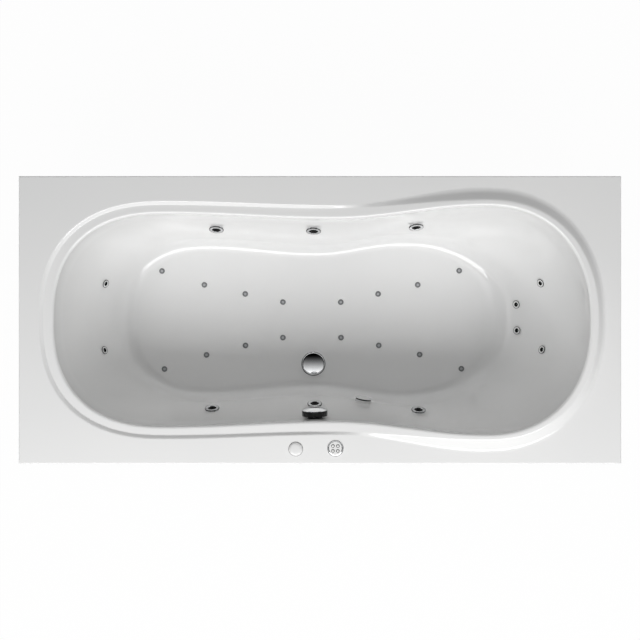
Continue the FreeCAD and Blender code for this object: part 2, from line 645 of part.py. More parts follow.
channels = []
for row in (back_row, front_row):
    middle = ((row[3][0] + row[4][0]) / 2, (row[3][1] + row[4][1]) / 2)
    start, end = row[0], row[-1]
    channels.append(channel(((start[0] - AIR_CHANNEL_WIDTH / 2, start[1]),) + row[:4] + (middle,), 0))
    channels.append(channel((middle,) + row[4:] + ((end[0] + AIR_CHANNEL_WIDTH, end[1]),), -1))
link_x = front_row[0][0] - AIR_CHANNEL_WIDTH / 4
link_ends = [row_side(row, link_x + AIR_CHANNEL_WIDTH / 2) for row in (front_row, back_row)]
channels.append(channel(((link_x, link_ends[0]), (link_x, link_ends[1]))))
export("air_channels", *channels)

# ---- Waste, trap and plug -----------------------------------------------------------------------
waste = V(WASTE_X, WASTE_Y, FLOOR_TOP)
neck = WASTE_BORE_RADIUS + WASTE_NECK_WALL
holes.append(rod(neck + HOLE_CLEARANCE, 3 * SHELL_WALL, -2 * SHELL_WALL, waste, UP, ROUND_SIDES))
export("waste_flange", turned([(WASTE_BORE_RADIUS, 0), (WASTE_FLANGE_RADIUS, 0),
                               (WASTE_FLANGE_RADIUS - WASTE_FLANGE_THICKNESS, WASTE_FLANGE_THICKNESS),
                               (WASTE_BORE_RADIUS, WASTE_FLANGE_THICKNESS)], waste))
body_foot = -SHELL_WALL - WASTE_BODY_DEPTH
waste_body = turned([(WASTE_BORE_RADIUS, 0), (neck, 0), (neck, -SHELL_WALL), (WASTE_BODY_RADIUS, -SHELL_WALL),
                     (WASTE_BODY_RADIUS, body_foot), (WASTE_BORE_RADIUS, body_foot)], waste)
guide_low, guide_high = body_foot + 10, body_foot + 18
spider = block((WASTE_X - neck, WASTE_Y - 3, FLOOR_TOP + guide_low), (WASTE_X + neck, WASTE_Y + 3, FLOOR_TOP + guide_high))
boss = rod(2 * PLUG_STEM_RADIUS, guide_high - guide_low, guide_low, waste, UP, SMALL_SIDES)
waste_body = waste_body.fuse([spider, boss])
export("waste_body", drilled(waste_body, PLUG_STEM_RADIUS + RUNNING_GAP, body_foot, WASTE_BODY_DEPTH, waste, UP))
cover = WASTE_FLANGE_THICKNESS + PLUG_SEAL_GAP
dome = cover + PLUG_EDGE + PLUG_DOME_HEIGHT
plug = turned([(0, cover), (PLUG_RADIUS, cover), (PLUG_RADIUS, cover + PLUG_EDGE),
               (0.86 * PLUG_RADIUS, dome - 2), (0.5 * PLUG_RADIUS, dome), (0, dome)], waste)
export("waste_plug", plug.fuse(rod(PLUG_STEM_RADIUS, cover - guide_low, guide_low, waste)))
trap_top = FLOOR_TOP + body_foot
trap_seat = V(WASTE_X, WASTE_Y, TRAP_FOOT)
trap = rod(TRAP_RADIUS, trap_top - TRAP_FOOT, 0, trap_seat, UP, ROUND_SIDES)
across = V(1, 0, 0)
outlet = V(WASTE_X, WASTE_Y, OUTLET_HEIGHT)
trap = trap.fuse(Part.makeCylinder(OUTLET_NECK_RADIUS, OUTLET_REACH - 1, outlet, across))
trap = trap.fuse(Part.makeCylinder(OUTLET_RADIUS, OUTLET_SPIGOT, outlet + across * (OUTLET_REACH - OUTLET_SPIGOT), across))
trap = drilled(trap, TRAP_RADIUS - PIPE_WALL, PIPE_WALL, trap_top - TRAP_FOOT, trap_seat, UP, ROUND_SIDES)
trap = trap.cut(Part.makeCylinder(OUTLET_RADIUS - PIPE_WALL, OUTLET_REACH, outlet, across))
export("waste_trap", trap)

# ---- Overflow with its turning grip -------------------------------------------------------------
seat, axis = wall_seat(wall_faces, V(OVERFLOW_X, 0, OVERFLOW_HEIGHT), V(OVERFLOW_X, -HALF_WIDTH, OVERFLOW_HEIGHT))
holes.append(rod(OVERFLOW_NECK_RADIUS + HOLE_CLEARANCE, 4 * SHELL_WALL, -3 * SHELL_WALL, seat, axis))
box = 2 * OVERFLOW_NECK_RADIUS + 16
box_back = BODY_BACK + OVERFLOW_BOX_DEPTH
housing = Part.makeBox(box, box, OVERFLOW_BOX_DEPTH, V(-box / 2, -box / 2, -box_back))
housing = housing.fuse(rod(OVERFLOW_NECK_RADIUS, box_back + OVERFLOW_NECK_STAND, -box_back, sides=JET_SIDES))
housing = housing.cut(rod(OVERFLOW_BORE_RADIUS, box_back, OVERFLOW_BOX_BACK - box_back, sides=JET_SIDES))
housing = housing.cut(Part.makeCylinder(GRIP_SPINDLE_RADIUS + RUNNING_GAP, box_back, V(0, 0, -GRIP_SPINDLE_DEPTH - 1)))
housing = set_on(housing, seat, axis)
export("overflow_housing", housing)
grip = turned([(0, GRIP_REACH), (GRIP_FACE_RADIUS, GRIP_REACH), (GRIP_RADIUS, GRIP_REACH - GRIP_CONE),
               (GRIP_RADIUS, GRIP_BACK), (0, GRIP_BACK)])
spindle = rod(GRIP_SPINDLE_RADIUS, GRIP_SPINDLE_DEPTH + GRIP_BACK, -GRIP_SPINDLE_DEPTH)
export("overflow_grip", set_on(grip.fuse(spindle), seat, axis))
print("overflow", tuple(round(c, 3) for c in seat), tuple(axis))
behind = seat - axis * (box_back - OVERFLOW_BOX_DEPTH / 2)
drop_x = WASTE_X - TRAP_RADIUS - 2 * OVERFLOW_PIPE_RADIUS
export("overflow_pipe", *pipe([V(OVERFLOW_X - box / 2, behind.y, behind.z), V(drop_x, behind.y, behind.z),
                              V(drop_x, behind.y, OUTLET_HEIGHT), V(drop_x, WASTE_Y, OUTLET_HEIGHT),
                              V(WASTE_X - TRAP_RADIUS, WASTE_Y, OUTLET_HEIGHT)], OVERFLOW_PIPE_RADIUS))
cable_x = OVERFLOW_X + box / 2 - 4
cable = eased([V(cable_x, behind.y, behind.z - box / 2 - 1), V(cable_x, behind.y, RAIL_TOP + 60),
               V(cable_x, -RAIL_Y - 40, CABLE_PASS_HEIGHT), V(cable_x, WASTE_Y - WASTE_BODY_RADIUS - 25, CABLE_PASS_HEIGHT),
               V(WASTE_X + 9, WASTE_Y - WASTE_BODY_RADIUS + SEAT_GAP, CABLE_PASS_HEIGHT)], PLUG_CABLE_BEND, 15)
export("plug_cable", *pipe(cable, PLUG_CABLE_RADIUS, sides=8))

# ---- Suction fitting and its pipe ---------------------------------------------------------------
seat, axis = wall_seat(wall_faces, V(SUCTION_X, 0, SUCTION_HEIGHT), V(SUCTION_X, -HALF_WIDTH, SUCTION_HEIGHT))
holes.append(rod(SUCTION_NECK_RADIUS + HOLE_CLEARANCE, 4 * SHELL_WALL, -3 * SHELL_WALL, seat, axis))
cup_foot = -BODY_BACK - SUCTION_CUP_DEPTH
strainer = turned([(SUCTION_BORE_RADIUS, 0), (SUCTION_NECK_RADIUS, 0), (SUCTION_NECK_RADIUS, -BODY_BACK),
                   (SUCTION_CUP_RADIUS, -BODY_BACK), (SUCTION_CUP_RADIUS, cup_foot), (SUCTION_BORE_RADIUS, cup_foot)],
                  sides=JET_SIDES)
strainer = strainer.fuse([block((-SUCTION_NECK_RADIUS, -3, -14), (SUCTION_NECK_RADIUS, 3, -6)),
                          rod(2 * SUCTION_POST_RADIUS, 8, -14, sides=SMALL_SIDES)])
strainer = strainer.cut(rod(SUCTION_POST_RADIUS, 10, -12, sides=ROUND_SIDES))
export("suction_body", set_on(strainer, seat, axis))
cover_top = SUCTION_COVER_GAP + SUCTION_COVER_THICKNESS
export("suction_cover", turned([(0, cover_top), (0.8 * SUCTION_COVER_RADIUS, cover_top),
                                (SUCTION_COVER_RADIUS, cover_top - 1.5), (SUCTION_COVER_RADIUS, SUCTION_COVER_GAP),
                                (SUCTION_POST_RADIUS, SUCTION_COVER_GAP), (SUCTION_POST_RADIUS, -12), (0, -12)],
                               seat, axis))
start = seat + axis * cup_foot
turn_in = start - axis * ((start.y - SUCTION_PIPE_Y) / axis.y)
export("suction_pipe", *pipe([start, turn_in, V(PUMP_X, SUCTION_PIPE_Y, PUMP_AXIS_HEIGHT),
                             V(PUMP_X, VOLUTE_FRONT_Y, PUMP_AXIS_HEIGHT)], SUCTION_PIPE_RADIUS, SUCTION_PIPE_RADIUS - PIPE_WALL))

# ---- Controls on the front rim ------------------------------------------------------------------
def rim_control(x, y, bore, bore_depth):
    """The threaded body of a rim control with its nut, standing in its hole."""
    stem = rod(CONTROL_STEM_RADIUS, CONTROL_BODY_DEPTH, -CONTROL_BODY_DEPTH, V(x, y, RIM_TOP), UP, JET_SIDES)
    nut_base = -SHELL_WALL - CONTROL_NUT_HEIGHT
    stem = stem.fuse(prism(6, CONTROL_NUT_FLATS, CONTROL_NUT_HEIGHT, nut_base, V(x, y, RIM_TOP)))
    return drilled(stem, bore, -bore_depth, bore_depth, V(x, y, RIM_TOP), UP) if bore else stem


for x, y in ((AIR_KNOB_X, AIR_KNOB_Y), (KEYPAD_X, KEYPAD_Y)):
    holes.append(rod(CONTROL_STEM_RADIUS + HOLE_CLEARANCE, 3 * SHELL_WALL, -2 * SHELL_WALL, V(x, y, RIM_TOP), UP, JET_SIDES))
export("air_control_body", rim_control(AIR_KNOB_X, AIR_KNOB_Y, KNOB_SPINDLE_RADIUS + RUNNING_GAP, KNOB_SPINDLE_DEPTH + 1))
knob = turned([(0, AIR_KNOB_HEIGHT), (0.5 * AIR_KNOB_RADIUS, AIR_KNOB_HEIGHT),
               (0.85 * AIR_KNOB_RADIUS, 0.75 * AIR_KNOB_HEIGHT), (AIR_KNOB_RADIUS, AIR_KNOB_HEIGHT / 3),
               (AIR_KNOB_RADIUS, SEAT_GAP), (0, SEAT_GAP)])
knob = knob.fuse(rod(KNOB_SPINDLE_RADIUS, KNOB_SPINDLE_DEPTH + 1, -KNOB_SPINDLE_DEPTH))
export("air_knob", set_on(knob, V(AIR_KNOB_X, AIR_KNOB_Y, RIM_TOP), UP))
export("keypad_housing", rim_control(KEYPAD_X, KEYPAD_Y, 0, 0))
keypad = V(KEYPAD_X, KEYPAD_Y, RIM_TOP)
export("keypad_bezel", turned([(KEYPAD_FACE_RADIUS, 0), (KEYPAD_RADIUS, 0), (KEYPAD_RADIUS, KEYPAD_HEIGHT / 4),
                               (KEYPAD_FACE_RADIUS, KEYPAD_HEIGHT)], keypad))
face_top = KEYPAD_HEIGHT - 1
keypad_face = rod(KEYPAD_FACE_RADIUS, face_top, 0, keypad, UP, ROUND_SIDES)
for number, (across, up) in enumerate(((-1, 1), (1, 1), (-1, -1), (1, -1)), 1):
    centre = keypad + V(across, up, 0) * BUTTON_OFFSET
    keypad_face = drilled(keypad_face, BUTTON_RADIUS + RUNNING_GAP, 0, KEYPAD_HEIGHT, centre, UP, JET_SIDES)
    button_base = face_top + BUTTON_STAND - BUTTON_HEIGHT
    export("keypad_button_" + str(number), rod(BUTTON_RADIUS, BUTTON_HEIGHT, button_base, centre, UP, JET_SIDES))
export("keypad_face", keypad_face)
export("tub_shell", blank.cut(holes))

# ---- Cradle, feet and battens -------------------------------------------------------------------
rail_z = RAIL_TOP - RAIL / 2
feet = [V(x, y, 0) for x in (-FOOT_X, FOOT_X) for y in (-RAIL_Y, RAIL_Y)]
side = RAIL_Y - RAIL / 2
end = UPRIGHT_Y + UPRIGHT_TUBE / 2
rails = []
for y in (-RAIL_Y, RAIL_Y):
    rail = square_tube(V(-CRADLE_END_X - RAIL / 2, y, rail_z), V(CRADLE_END_X + RAIL / 2, y, rail_z), RAIL, RAIL_WALL)
    for foot in feet:
        if foot.y == y:
            rail = drilled(rail, FOOT_ROD_RADIUS + SEAT_GAP, 0, RAIL_TOP + 1, foot, UP, SMALL_SIDES)
    rails.append(rail)
uprights = []
for x in (-CRADLE_END_X, *CROSS_RAILS_X, CRADLE_END_X):
    rails.append(square_tube(V(x, -side, rail_z), V(x, side, rail_z), RAIL, RAIL_WALL))
for x in (-CRADLE_END_X, CRADLE_END_X):
    for sign in (-1, 1):
        outer = RAIL_Y + RAIL / 2
        rails.append(square_tube(V(x, sign * outer, rail_z), V(x, sign * end, rail_z), RAIL, RAIL_WALL))
        uprights.append(square_tube(V(x, sign * UPRIGHT_Y, RAIL_TOP), V(x, sign * UPRIGHT_Y, RIM_TOP - SHELL_WALL),
                                    UPRIGHT_TUBE, RAIL_WALL))
export("cradle_rails", *rails)
export("cradle_uprights", *uprights)
nut_base = RAIL_TOP - RAIL - NUT_HEIGHT
export("weld_nuts", *[drilled(prism(6, NUT_FLATS, NUT_HEIGHT, nut_base, foot), FOOT_ROD_RADIUS + RUNNING_GAP,
                              0, RAIL_TOP, foot, UP, SMALL_SIDES) for foot in feet])
for number, foot in enumerate(feet, 1):
    pad = prism(6, FOOT_PAD_FLATS, FOOT_PAD_HEIGHT, 0, foot)
    export("foot_pad_" + str(number), drilled(pad, FOOT_ROD_RADIUS, ROD_SOCKET, FOOT_PAD_HEIGHT, foot, UP, SMALL_SIDES))
    export("foot_rod_" + str(number), rod(FOOT_ROD_RADIUS, ROD_TOP - ROD_SOCKET, ROD_SOCKET, foot, UP, SMALL_SIDES))
battens = [block((-CENTRE_BATTEN[0], -CENTRE_BATTEN[1], RAIL_TOP), (CENTRE_BATTEN[0], CENTRE_BATTEN[1], FLOOR_UNDER)),
           block((SIDE_BATTEN_X[0], SIDE_BATTEN_Y[0], RAIL_TOP), (SIDE_BATTEN_X[1], SIDE_BATTEN_Y[1], FLOOR_UNDER))]
for left, right in ((SIDE_BATTEN_X[0], WASTE_BATTEN_X[0]), (WASTE_BATTEN_X[1], SIDE_BATTEN_X[1])):
    battens.append(block((left, -SIDE_BATTEN_Y[1], RAIL_TOP), (right, -SIDE_BATTEN_Y[0], FLOOR_UNDER)))
export("floor_battens", *battens)

# ---- Water pump ---------------------------------------------------------------------------------
tray_top = RAIL_TOP + TRAY_THICKNESS
export("machine_trays", *[block((low, -TRAY_Y, RAIL_TOP), (high, TRAY_Y, tray_top))
                          for low, high in (PUMP_TRAY_X, BLOWER_TRAY_X)])
along = V(0, 1, 0)
front = V(PUMP_X, VOLUTE_FRONT_Y, PUMP_AXIS_HEIGHT)
stub = V(PUMP_X + RISER_X_OFFSET, VOLUTE_FRONT_Y + VOLUTE_WIDTH / 2, PUMP_AXIS_HEIGHT)
volute = rod(VOLUTE_RADIUS, VOLUTE_WIDTH, 0, front, along, ROUND_SIDES)
volute = volute.fuse(rod(MAIN_RADIUS + VOLUTE_WALL / 2, STUB_TOP - stub.z, 0, stub, UP, SMALL_SIDES))
volute = drilled(volute, VOLUTE_RADIUS - VOLUTE_WALL, VOLUTE_WALL, VOLUTE_WIDTH - 2 * VOLUTE_WALL, front, along, ROUND_SIDES)
volute = drilled(volute, MAIN_RADIUS, 0, STUB_TOP - stub.z, stub, UP, SMALL_SIDES)
volute = drilled(volute, SUCTION_PIPE_RADIUS - PIPE_WALL, 0, VOLUTE_WALL, front, along, SMALL_SIDES)
shaft_hole = PUMP_SHAFT_RADIUS + RUNNING_GAP
volute = volute.cut(Part.makeCylinder(shaft_hole, 2 * VOLUTE_WALL, front + along * (VOLUTE_WIDTH - 2 * VOLUTE_WALL), along))
export("pump_volute", volute)
hub = front + along * (VOLUTE_WIDTH / 2 - IMPELLER_WIDTH / 2)
impeller = rod(2 * PUMP_SHAFT_RADIUS, IMPELLER_WIDTH, 0, hub, along, SMALL_SIDES)
impeller = impeller.fuse(rod(IMPELLER_RADIUS, 4, IMPELLER_WIDTH - 4, hub, along, ROUND_SIDES))
blades = []
for k in range(BLADE_COUNT):
    blade = Part.makeBox(IMPELLER_RADIUS - PUMP_SHAFT_RADIUS, IMPELLER_WIDTH, 4, V(PUMP_SHAFT_RADIUS, 0, -2))
    blade.rotate(V(0, 0, 0), along, k * 360 / BLADE_COUNT)
    blade.translate(hub)
    blades.append(blade)
shaft_length = VOLUTE_WIDTH / 2 - IMPELLER_WIDTH / 2 + 30
blades.append(Part.makeCylinder(PUMP_SHAFT_RADIUS, IMPELLER_WIDTH + shaft_length, hub, along))
impeller = impeller.fuse(blades).common(rod(IMPELLER_RADIUS, 200, 0, hub, along, ROUND_SIDES))
export("pump_impeller", impeller)
print("impeller", tuple(hub))
motor_front = front + along * VOLUTE_WIDTH
motor = rod(MOTOR_RADIUS, MOTOR_LENGTH, 0, motor_front, along, ROUND_SIDES)
for y in MOTOR_FEET_Y:
    motor = motor.fuse(block((PUMP_X - MOTOR_FEET[0], y, tray_top), (PUMP_X + MOTOR_FEET[0], y + MOTOR_FEET[1], PUMP_AXIS_HEIGHT)))
motor = motor.cut(Part.makeCylinder(shaft_hole, 40, motor_front, along))
export("pump_motor", motor)

# ---- Air blower ---------------------------------------------------------------------------------
base = V(BLOWER_X, BLOWER_Y, tray_top)
inside_height = BLOWER_HEIGHT - BLOWER_WALL
housing = turned([(0, 0), (BLOWER_RADIUS, 0), (BLOWER_RADIUS, BLOWER_HEIGHT), (BLOWER_RADIUS - BLOWER_WALL, BLOWER_HEIGHT),
                  (BLOWER_RADIUS - BLOWER_WALL, BLOWER_WALL), (BLOWER_PEDESTAL_RADIUS, BLOWER_WALL),
                  (BLOWER_PEDESTAL_RADIUS, FAN_UNDER - 2), (0, FAN_UNDER - 2)], base)
housing = drilled(housing, FAN_SHAFT_RADIUS + RUNNING_GAP, FAN_UNDER - 32, 40, base, UP)
export("blower_housing", housing)
fan = rod(FAN_RADIUS, 3, FAN_UNDER, sides=ROUND_SIDES)
vanes = [Part.makeCylinder(FAN_SHAFT_RADIUS, FAN_HEIGHT + 30, V(0, 0, FAN_UNDER - 30))]
for k in range(8):
    vane = Part.makeBox(26, 3, FAN_HEIGHT, V(FAN_RADIUS - 27, -1.5, FAN_UNDER))
    vane.rotate(V(0, 0, 0), UP, k * 45)
    vanes.append(vane)
export("blower_fan", set_on(fan.fuse(vanes), base, UP))
export("blower_lid", turned([(BLOWER_INTAKE_RADIUS, BLOWER_HEIGHT), (BLOWER_RADIUS, BLOWER_HEIGHT),
                             (BLOWER_RADIUS, BLOWER_HEIGHT + BLOWER_WALL), (BLOWER_INTAKE_RADIUS, BLOWER_HEIGHT + BLOWER_WALL)], base))
air_z = channel_under + AIR_CHANNEL_HEIGHT / 2
air_x, air_y = front_row[0][0] - AIR_CHANNEL_WIDTH / 2, front_row[0][1]
export("blower_pipe", *pipe([V(BLOWER_X + BLOWER_RADIUS, air_y, air_z), V(air_x, air_y, air_z)], BLOWER_PIPE_RADIUS,
                           BLOWER_PIPE_RADIUS - 1.5))

# ---- Control box and conduits -------------------------------------------------------------------
length, width, height = CONTROL_BOX
box_low = (BLOWER_X - length / 2, CONTROL_BOX_Y - width / 2, tray_top)
box_high = (BLOWER_X + length / 2, CONTROL_BOX_Y + width / 2, tray_top + height)
export("control_box", block(box_low, box_high))
glands = [V(BLOWER_X - 45, CONTROL_BOX_Y + 25, box_high[2]), V(BLOWER_X + 10, CONTROL_BOX_Y - 40, box_high[2])]
export("cable_glands", *[prism(6, 20, GLAND_HEIGHT, 0, g) for g in glands])
conduit_x, conduit_y = glands[0].x, glands[0].y
stem_foot = RIM_TOP - CONTROL_BODY_DEPTH
conduits = pipe([V(KEYPAD_X, KEYPAD_Y, stem_foot), V(KEYPAD_X, KEYPAD_Y, CONDUIT_HEIGHT),
                 V(KEYPAD_X, CONDUIT_Y, CONDUIT_HEIGHT), V(conduit_x, CONDUIT_Y, CONDUIT_HEIGHT),
                 V(conduit_x, conduit_y, CONDUIT_HEIGHT),
                 V(conduit_x, conduit_y, box_high[2] + GLAND_HEIGHT)], CONDUIT_RADIUS)
above = UP * (GLAND_HEIGHT + 60)
conduits += pipe([glands[1] + UP * GLAND_HEIGHT, glands[1] + above, V(glands[1].x, BLOWER_Y + 40, (glands[1] + above).z),
                  V(glands[1].x, BLOWER_Y + 40, tray_top + BLOWER_HEIGHT + BLOWER_WALL)], CONDUIT_RADIUS)
export("cable_conduits", *conduits)

# ---- Pressure main, riser and air line ----------------------------------------------------------
x, y, z = MAIN_END_X, MAIN_SIDE_Y, MAIN_HEIGHT
cut = MAIN_CORNER
first, last = side_seats[0][0].x - 30, end_seats[0][0].y + 20
export("pressure_main", *pipe([V(first, y, z), V(x - cut, y, z), V(x, y - cut, z), V(x, cut - y, z), V(x - cut, -y, z),
                              V(cut - x, -y, z), V(-x, cut - y, z), V(-x, last, z)], MAIN_RADIUS))
export("pump_riser", *pipe([V(stub.x, stub.y, STUB_TOP), V(stub.x, stub.y, MAIN_HEIGHT - MAIN_RADIUS - SEAT_GAP)], MAIN_RADIUS))
export("air_line", *pipe([V(AIR_KNOB_X, AIR_KNOB_Y, stem_foot), V(AIR_KNOB_X, AIR_KNOB_Y, AIR_LINE_HEIGHT),
                         V(x, AIR_KNOB_Y, AIR_LINE_HEIGHT), V(x, cut - y + 20, AIR_LINE_HEIGHT),
                         V(x, cut - y + 20, MAIN_HEIGHT + MAIN_RADIUS + SEAT_GAP)], AIR_LINE_RADIUS))
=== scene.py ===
"""Looks of a jetted bathtub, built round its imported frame.

Every length is in metres, in the frame's own axes: +Z up, +X towards the end with the raised
collar, -Y towards the rim that carries the controls. The origin is on the ground.
"""

import json
import logging
import math
from dataclasses import dataclass
from enum import Enum
from typing import Callable, Dict, Iterable, List, Optional, Sequence, Tuple, Union

import bmesh
import bpy
from mathutils import Matrix, Vector

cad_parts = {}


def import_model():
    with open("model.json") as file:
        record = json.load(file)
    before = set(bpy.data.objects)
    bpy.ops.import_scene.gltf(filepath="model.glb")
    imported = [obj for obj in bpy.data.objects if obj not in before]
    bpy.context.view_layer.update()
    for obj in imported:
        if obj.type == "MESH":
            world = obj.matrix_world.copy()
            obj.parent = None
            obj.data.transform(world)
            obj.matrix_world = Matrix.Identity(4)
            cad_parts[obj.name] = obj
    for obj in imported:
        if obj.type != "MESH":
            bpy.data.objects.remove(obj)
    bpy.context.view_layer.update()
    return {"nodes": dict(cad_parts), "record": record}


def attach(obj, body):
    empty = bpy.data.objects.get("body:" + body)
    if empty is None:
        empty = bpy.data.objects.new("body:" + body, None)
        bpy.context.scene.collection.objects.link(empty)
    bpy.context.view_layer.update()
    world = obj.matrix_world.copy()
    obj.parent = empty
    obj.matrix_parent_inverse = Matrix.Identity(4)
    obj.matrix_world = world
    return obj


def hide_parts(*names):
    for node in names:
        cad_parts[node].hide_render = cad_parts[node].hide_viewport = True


log = logging.getLogger("bathtub")

Pair = Tuple[float, float]
Triple = Tuple[float, float, float]
Colour = Tuple[float, float, float]
Contour = Tuple[float, ...]
Profile = List[Pair]
Socket = bpy.types.NodeSocket
Mesh = bmesh.types.BMesh

CREASE = math.radians(32.0)


def mm(*points: Pair) -> Profile:
    """A profile's (radius, height) points, given in millimetres."""
    return [(radius / 1000, height / 1000) for radius, height in points]


# ---- Finishes ---------------------------------------------------------------------------------
class NodeBench:
    """The node tree of a material or world, with short calls for the nodes that the finishes share."""

    def __init__(self, owner: Union[bpy.types.Material, bpy.types.World]) -> None:
        """Opens the tree of a new material or world."""
        self.owner = owner
        owner.use_nodes = True
        self.tree = owner.node_tree
        self.shader = self.tree.nodes.get("Principled BSDF")

    def add(self, kind: str, **inputs: object) -> bpy.types.Node:
        """Adds a node and sets its inputs.

        Args:
            kind: the node's class name, without the part that they all share.
            **inputs: socket values, with spaces in a socket's name written as underscores.

        Returns:
            The new node.
        """
        node = self.tree.nodes.new("ShaderNode" + kind)
        for name, value in inputs.items():
            node.inputs[name.replace("_", " ")].default_value = value
        return node

    def link(self, source: Socket, target: Socket) -> None:
        """Joins two sockets."""
        self.tree.links.new(source, target)

    def place(self, scale: Triple = (1.0, 1.0, 1.0), turn: Triple = (0.0, 0.0, 0.0)) -> Socket:
        """Object coordinates, squeezed by a scale and turned by angles in radians."""
        mapping = self.add("Mapping", Scale=scale, Rotation=turn)
        self.link(self.add("TexCoord").outputs["Object"], mapping.inputs["Vector"])
        return mapping.outputs["Vector"]

    def noise(self, place: Socket, scale: float, detail: float = 3.0, roughness: float = 0.5) -> Socket:
        """A noise pattern's value at a place."""
        node = self.add("TexNoise", Scale=scale, Detail=detail, Roughness=roughness)
        self.link(place, node.inputs["Vector"])
        return node.outputs["Fac"]

    def spread(self, value: Socket, low: float, high: float, start: float = 0.3,
               end: float = 0.7) -> Socket:
        """Maps a pattern's value to a range.

        Args:
            value: the pattern.
            low: the result where the pattern is at start.
            high: the result where it is at end.
            start: the pattern's low value.
            end: its high value.

        Returns:
            The mapped value's socket.
        """
        node = self.add("MapRange", From_Min=start, From_Max=end, To_Min=low, To_Max=high)
        self.link(value, node.inputs["Value"])
        return node.outputs["Result"]

    def blend(self, factor: Socket, one: Colour, other: Colour) -> Socket:
        """Mixes two colours by a pattern's value."""
        node = self.add("Mix")
        node.data_type = "RGBA"
        node.inputs[6].default_value = (*one, 1.0)
        node.inputs[7].default_value = (*other, 1.0)
        self.link(factor, node.inputs[0])
        return node.outputs[2]

    def maths(self, operation: str, *values: Union[Socket, float]) -> Socket:
        """The result of an operation on sockets and numbers."""
        node = self.add("Math")
        node.operation = operation
        for socket, value in zip(node.inputs, values):
            if isinstance(value, float):
                socket.default_value = value
            else:
                self.link(value, socket)
        return node.outputs[0]

    def coat(self, colour: Socket, roughness: Socket, **inputs: float) -> None:
        """Gives the shader its colour, its roughness and the values of further inputs."""
        self.link(colour, self.shader.inputs["Base Color"])
        self.link(roughness, self.shader.inputs["Roughness"])
        for name, value in inputs.items():
            self.shader.inputs[name.replace("_", " ")].default_value = value

    def dent(self, height: Socket, strength: float, distance: float) -> None:
        """Gives the shader a bump of a pattern's height."""
        node = self.add("Bump", Strength=strength, Distance=distance)
        self.link(height, node.inputs["Height"])
        self.link(node.outputs["Normal"], self.shader.inputs["Normal"])

    def seen(self) -> Socket:
        """1 for rays that come from the camera, a mirror or glass."""
        path = self.add("LightPath").outputs
        mirrored = self.maths("MAXIMUM", path["Is Camera Ray"], path["Is Glossy Ray"])
        return self.maths("MAXIMUM", mirrored, path["Is Transmission Ray"])


class Finish:
    """A surface finish; each kind lays its own nodes."""

    def lay(self, bench: NodeBench, place: Socket) -> None:
        """Lays the finish's nodes.

        Args:
            bench: the bench with the empty material.
            place: object coordinates.
        """
        raise NotImplementedError

    def material(self, name: str) -> bpy.types.Material:
        """Builds the material under a name."""
        bench = NodeBench(bpy.data.materials.new(name))
        self.lay(bench, bench.place())
        return bench.owner


@dataclass(frozen=True)
class Acrylic(Finish):
    """Vacuum-formed white acrylic: glossy, with the faint waviness of a formed sheet."""

    colour: Colour = (0.87, 0.87, 0.865)
    shade: Colour = (0.845, 0.847, 0.845)
    roughness: Pair = (0.09, 0.15)

    def lay(self, bench: NodeBench, place: Socket) -> None:
        """Lays a broad tint, a finer change of gloss and a shallow wave."""
        broad = bench.spread(bench.noise(place, 2.2, 2.0), 0.0, 1.0)
        gloss = bench.spread(bench.noise(place, 9.0, 4.0), *self.roughness)
        bench.coat(bench.blend(broad, self.colour, self.shade), gloss,
                   IOR=1.49, Coat_Weight=0.35, Coat_Roughness=0.05)
        bench.dent(bench.noise(place, 14.0, 1.0), 0.04, 0.002)


@dataclass(frozen=True)
class GlassFibre(Finish):
    """The sprayed backing of the shell: chopped strands set in resin."""

    colour: Colour = (0.70, 0.69, 0.64)
    strand: Colour = (0.80, 0.79, 0.75)
    roughness: Pair = (0.35, 0.6)

    def lay(self, bench: NodeBench, place: Socket) -> None:
        """Lays two crossing sets of strands."""
        one = bench.noise(bench.place((18.0, 160.0, 90.0), (0.2, 0.5, 0.6)), 1.0, 2.0)
        other = bench.noise(bench.place((150.0, 20.0, 80.0), (0.4, 0.1, -0.5)), 1.0, 2.0)
        strands = bench.spread(bench.maths("MAXIMUM", one, other), 0.0, 1.0, 0.45, 0.72)
        bench.coat(bench.blend(strands, self.colour, self.strand),
                   bench.spread(bench.noise(place, 25.0), *self.roughness))
        bench.dent(strands, 0.5, 0.0012)


@dataclass(frozen=True)
class Chrome(Finish):
    """Bright chrome plate, with the faint haze of handling."""

    colour: Colour = (0.80, 0.81, 0.82)
    roughness: Pair = (0.03, 0.09)
    dim: float = 0.94

    def lay(self, bench: NodeBench, place: Socket) -> None:
        """Lays a haze in the tint and in the gloss."""
        haze = bench.noise(place, 55.0, 5.0, 0.6)
        dimmed = tuple(self.dim * c for c in self.colour)
        tint = bench.blend(bench.spread(haze, 0.0, 1.0), self.colour, dimmed)
        bench.coat(tint, bench.spread(haze, *self.roughness), Metallic=1.0)


@dataclass(frozen=True)
class Moulded(Finish):
    """Moulded plastic or rubber: a fine grain, and slightly uneven gloss."""

    colour: Colour
    roughness: Pair = (0.28, 0.4)
    grain: float = 600.0
    relief: float = 0.12
    mottle: float = 0.93
    shine: float = 0.5

    def lay(self, bench: NodeBench, place: Socket) -> None:
        """Lays a cloudy tint and a grain."""
        cloud = bench.spread(bench.noise(place, 30.0, 4.0), 0.0, 1.0)
        tint = bench.blend(cloud, self.colour, tuple(self.mottle * c for c in self.colour))
        grain = bench.noise(place, self.grain, 2.0)
        bench.coat(tint, bench.spread(grain, *self.roughness), IOR=1.46, Specular_IOR_Level=self.shine)
        bench.dent(grain, self.relief, 0.0004)


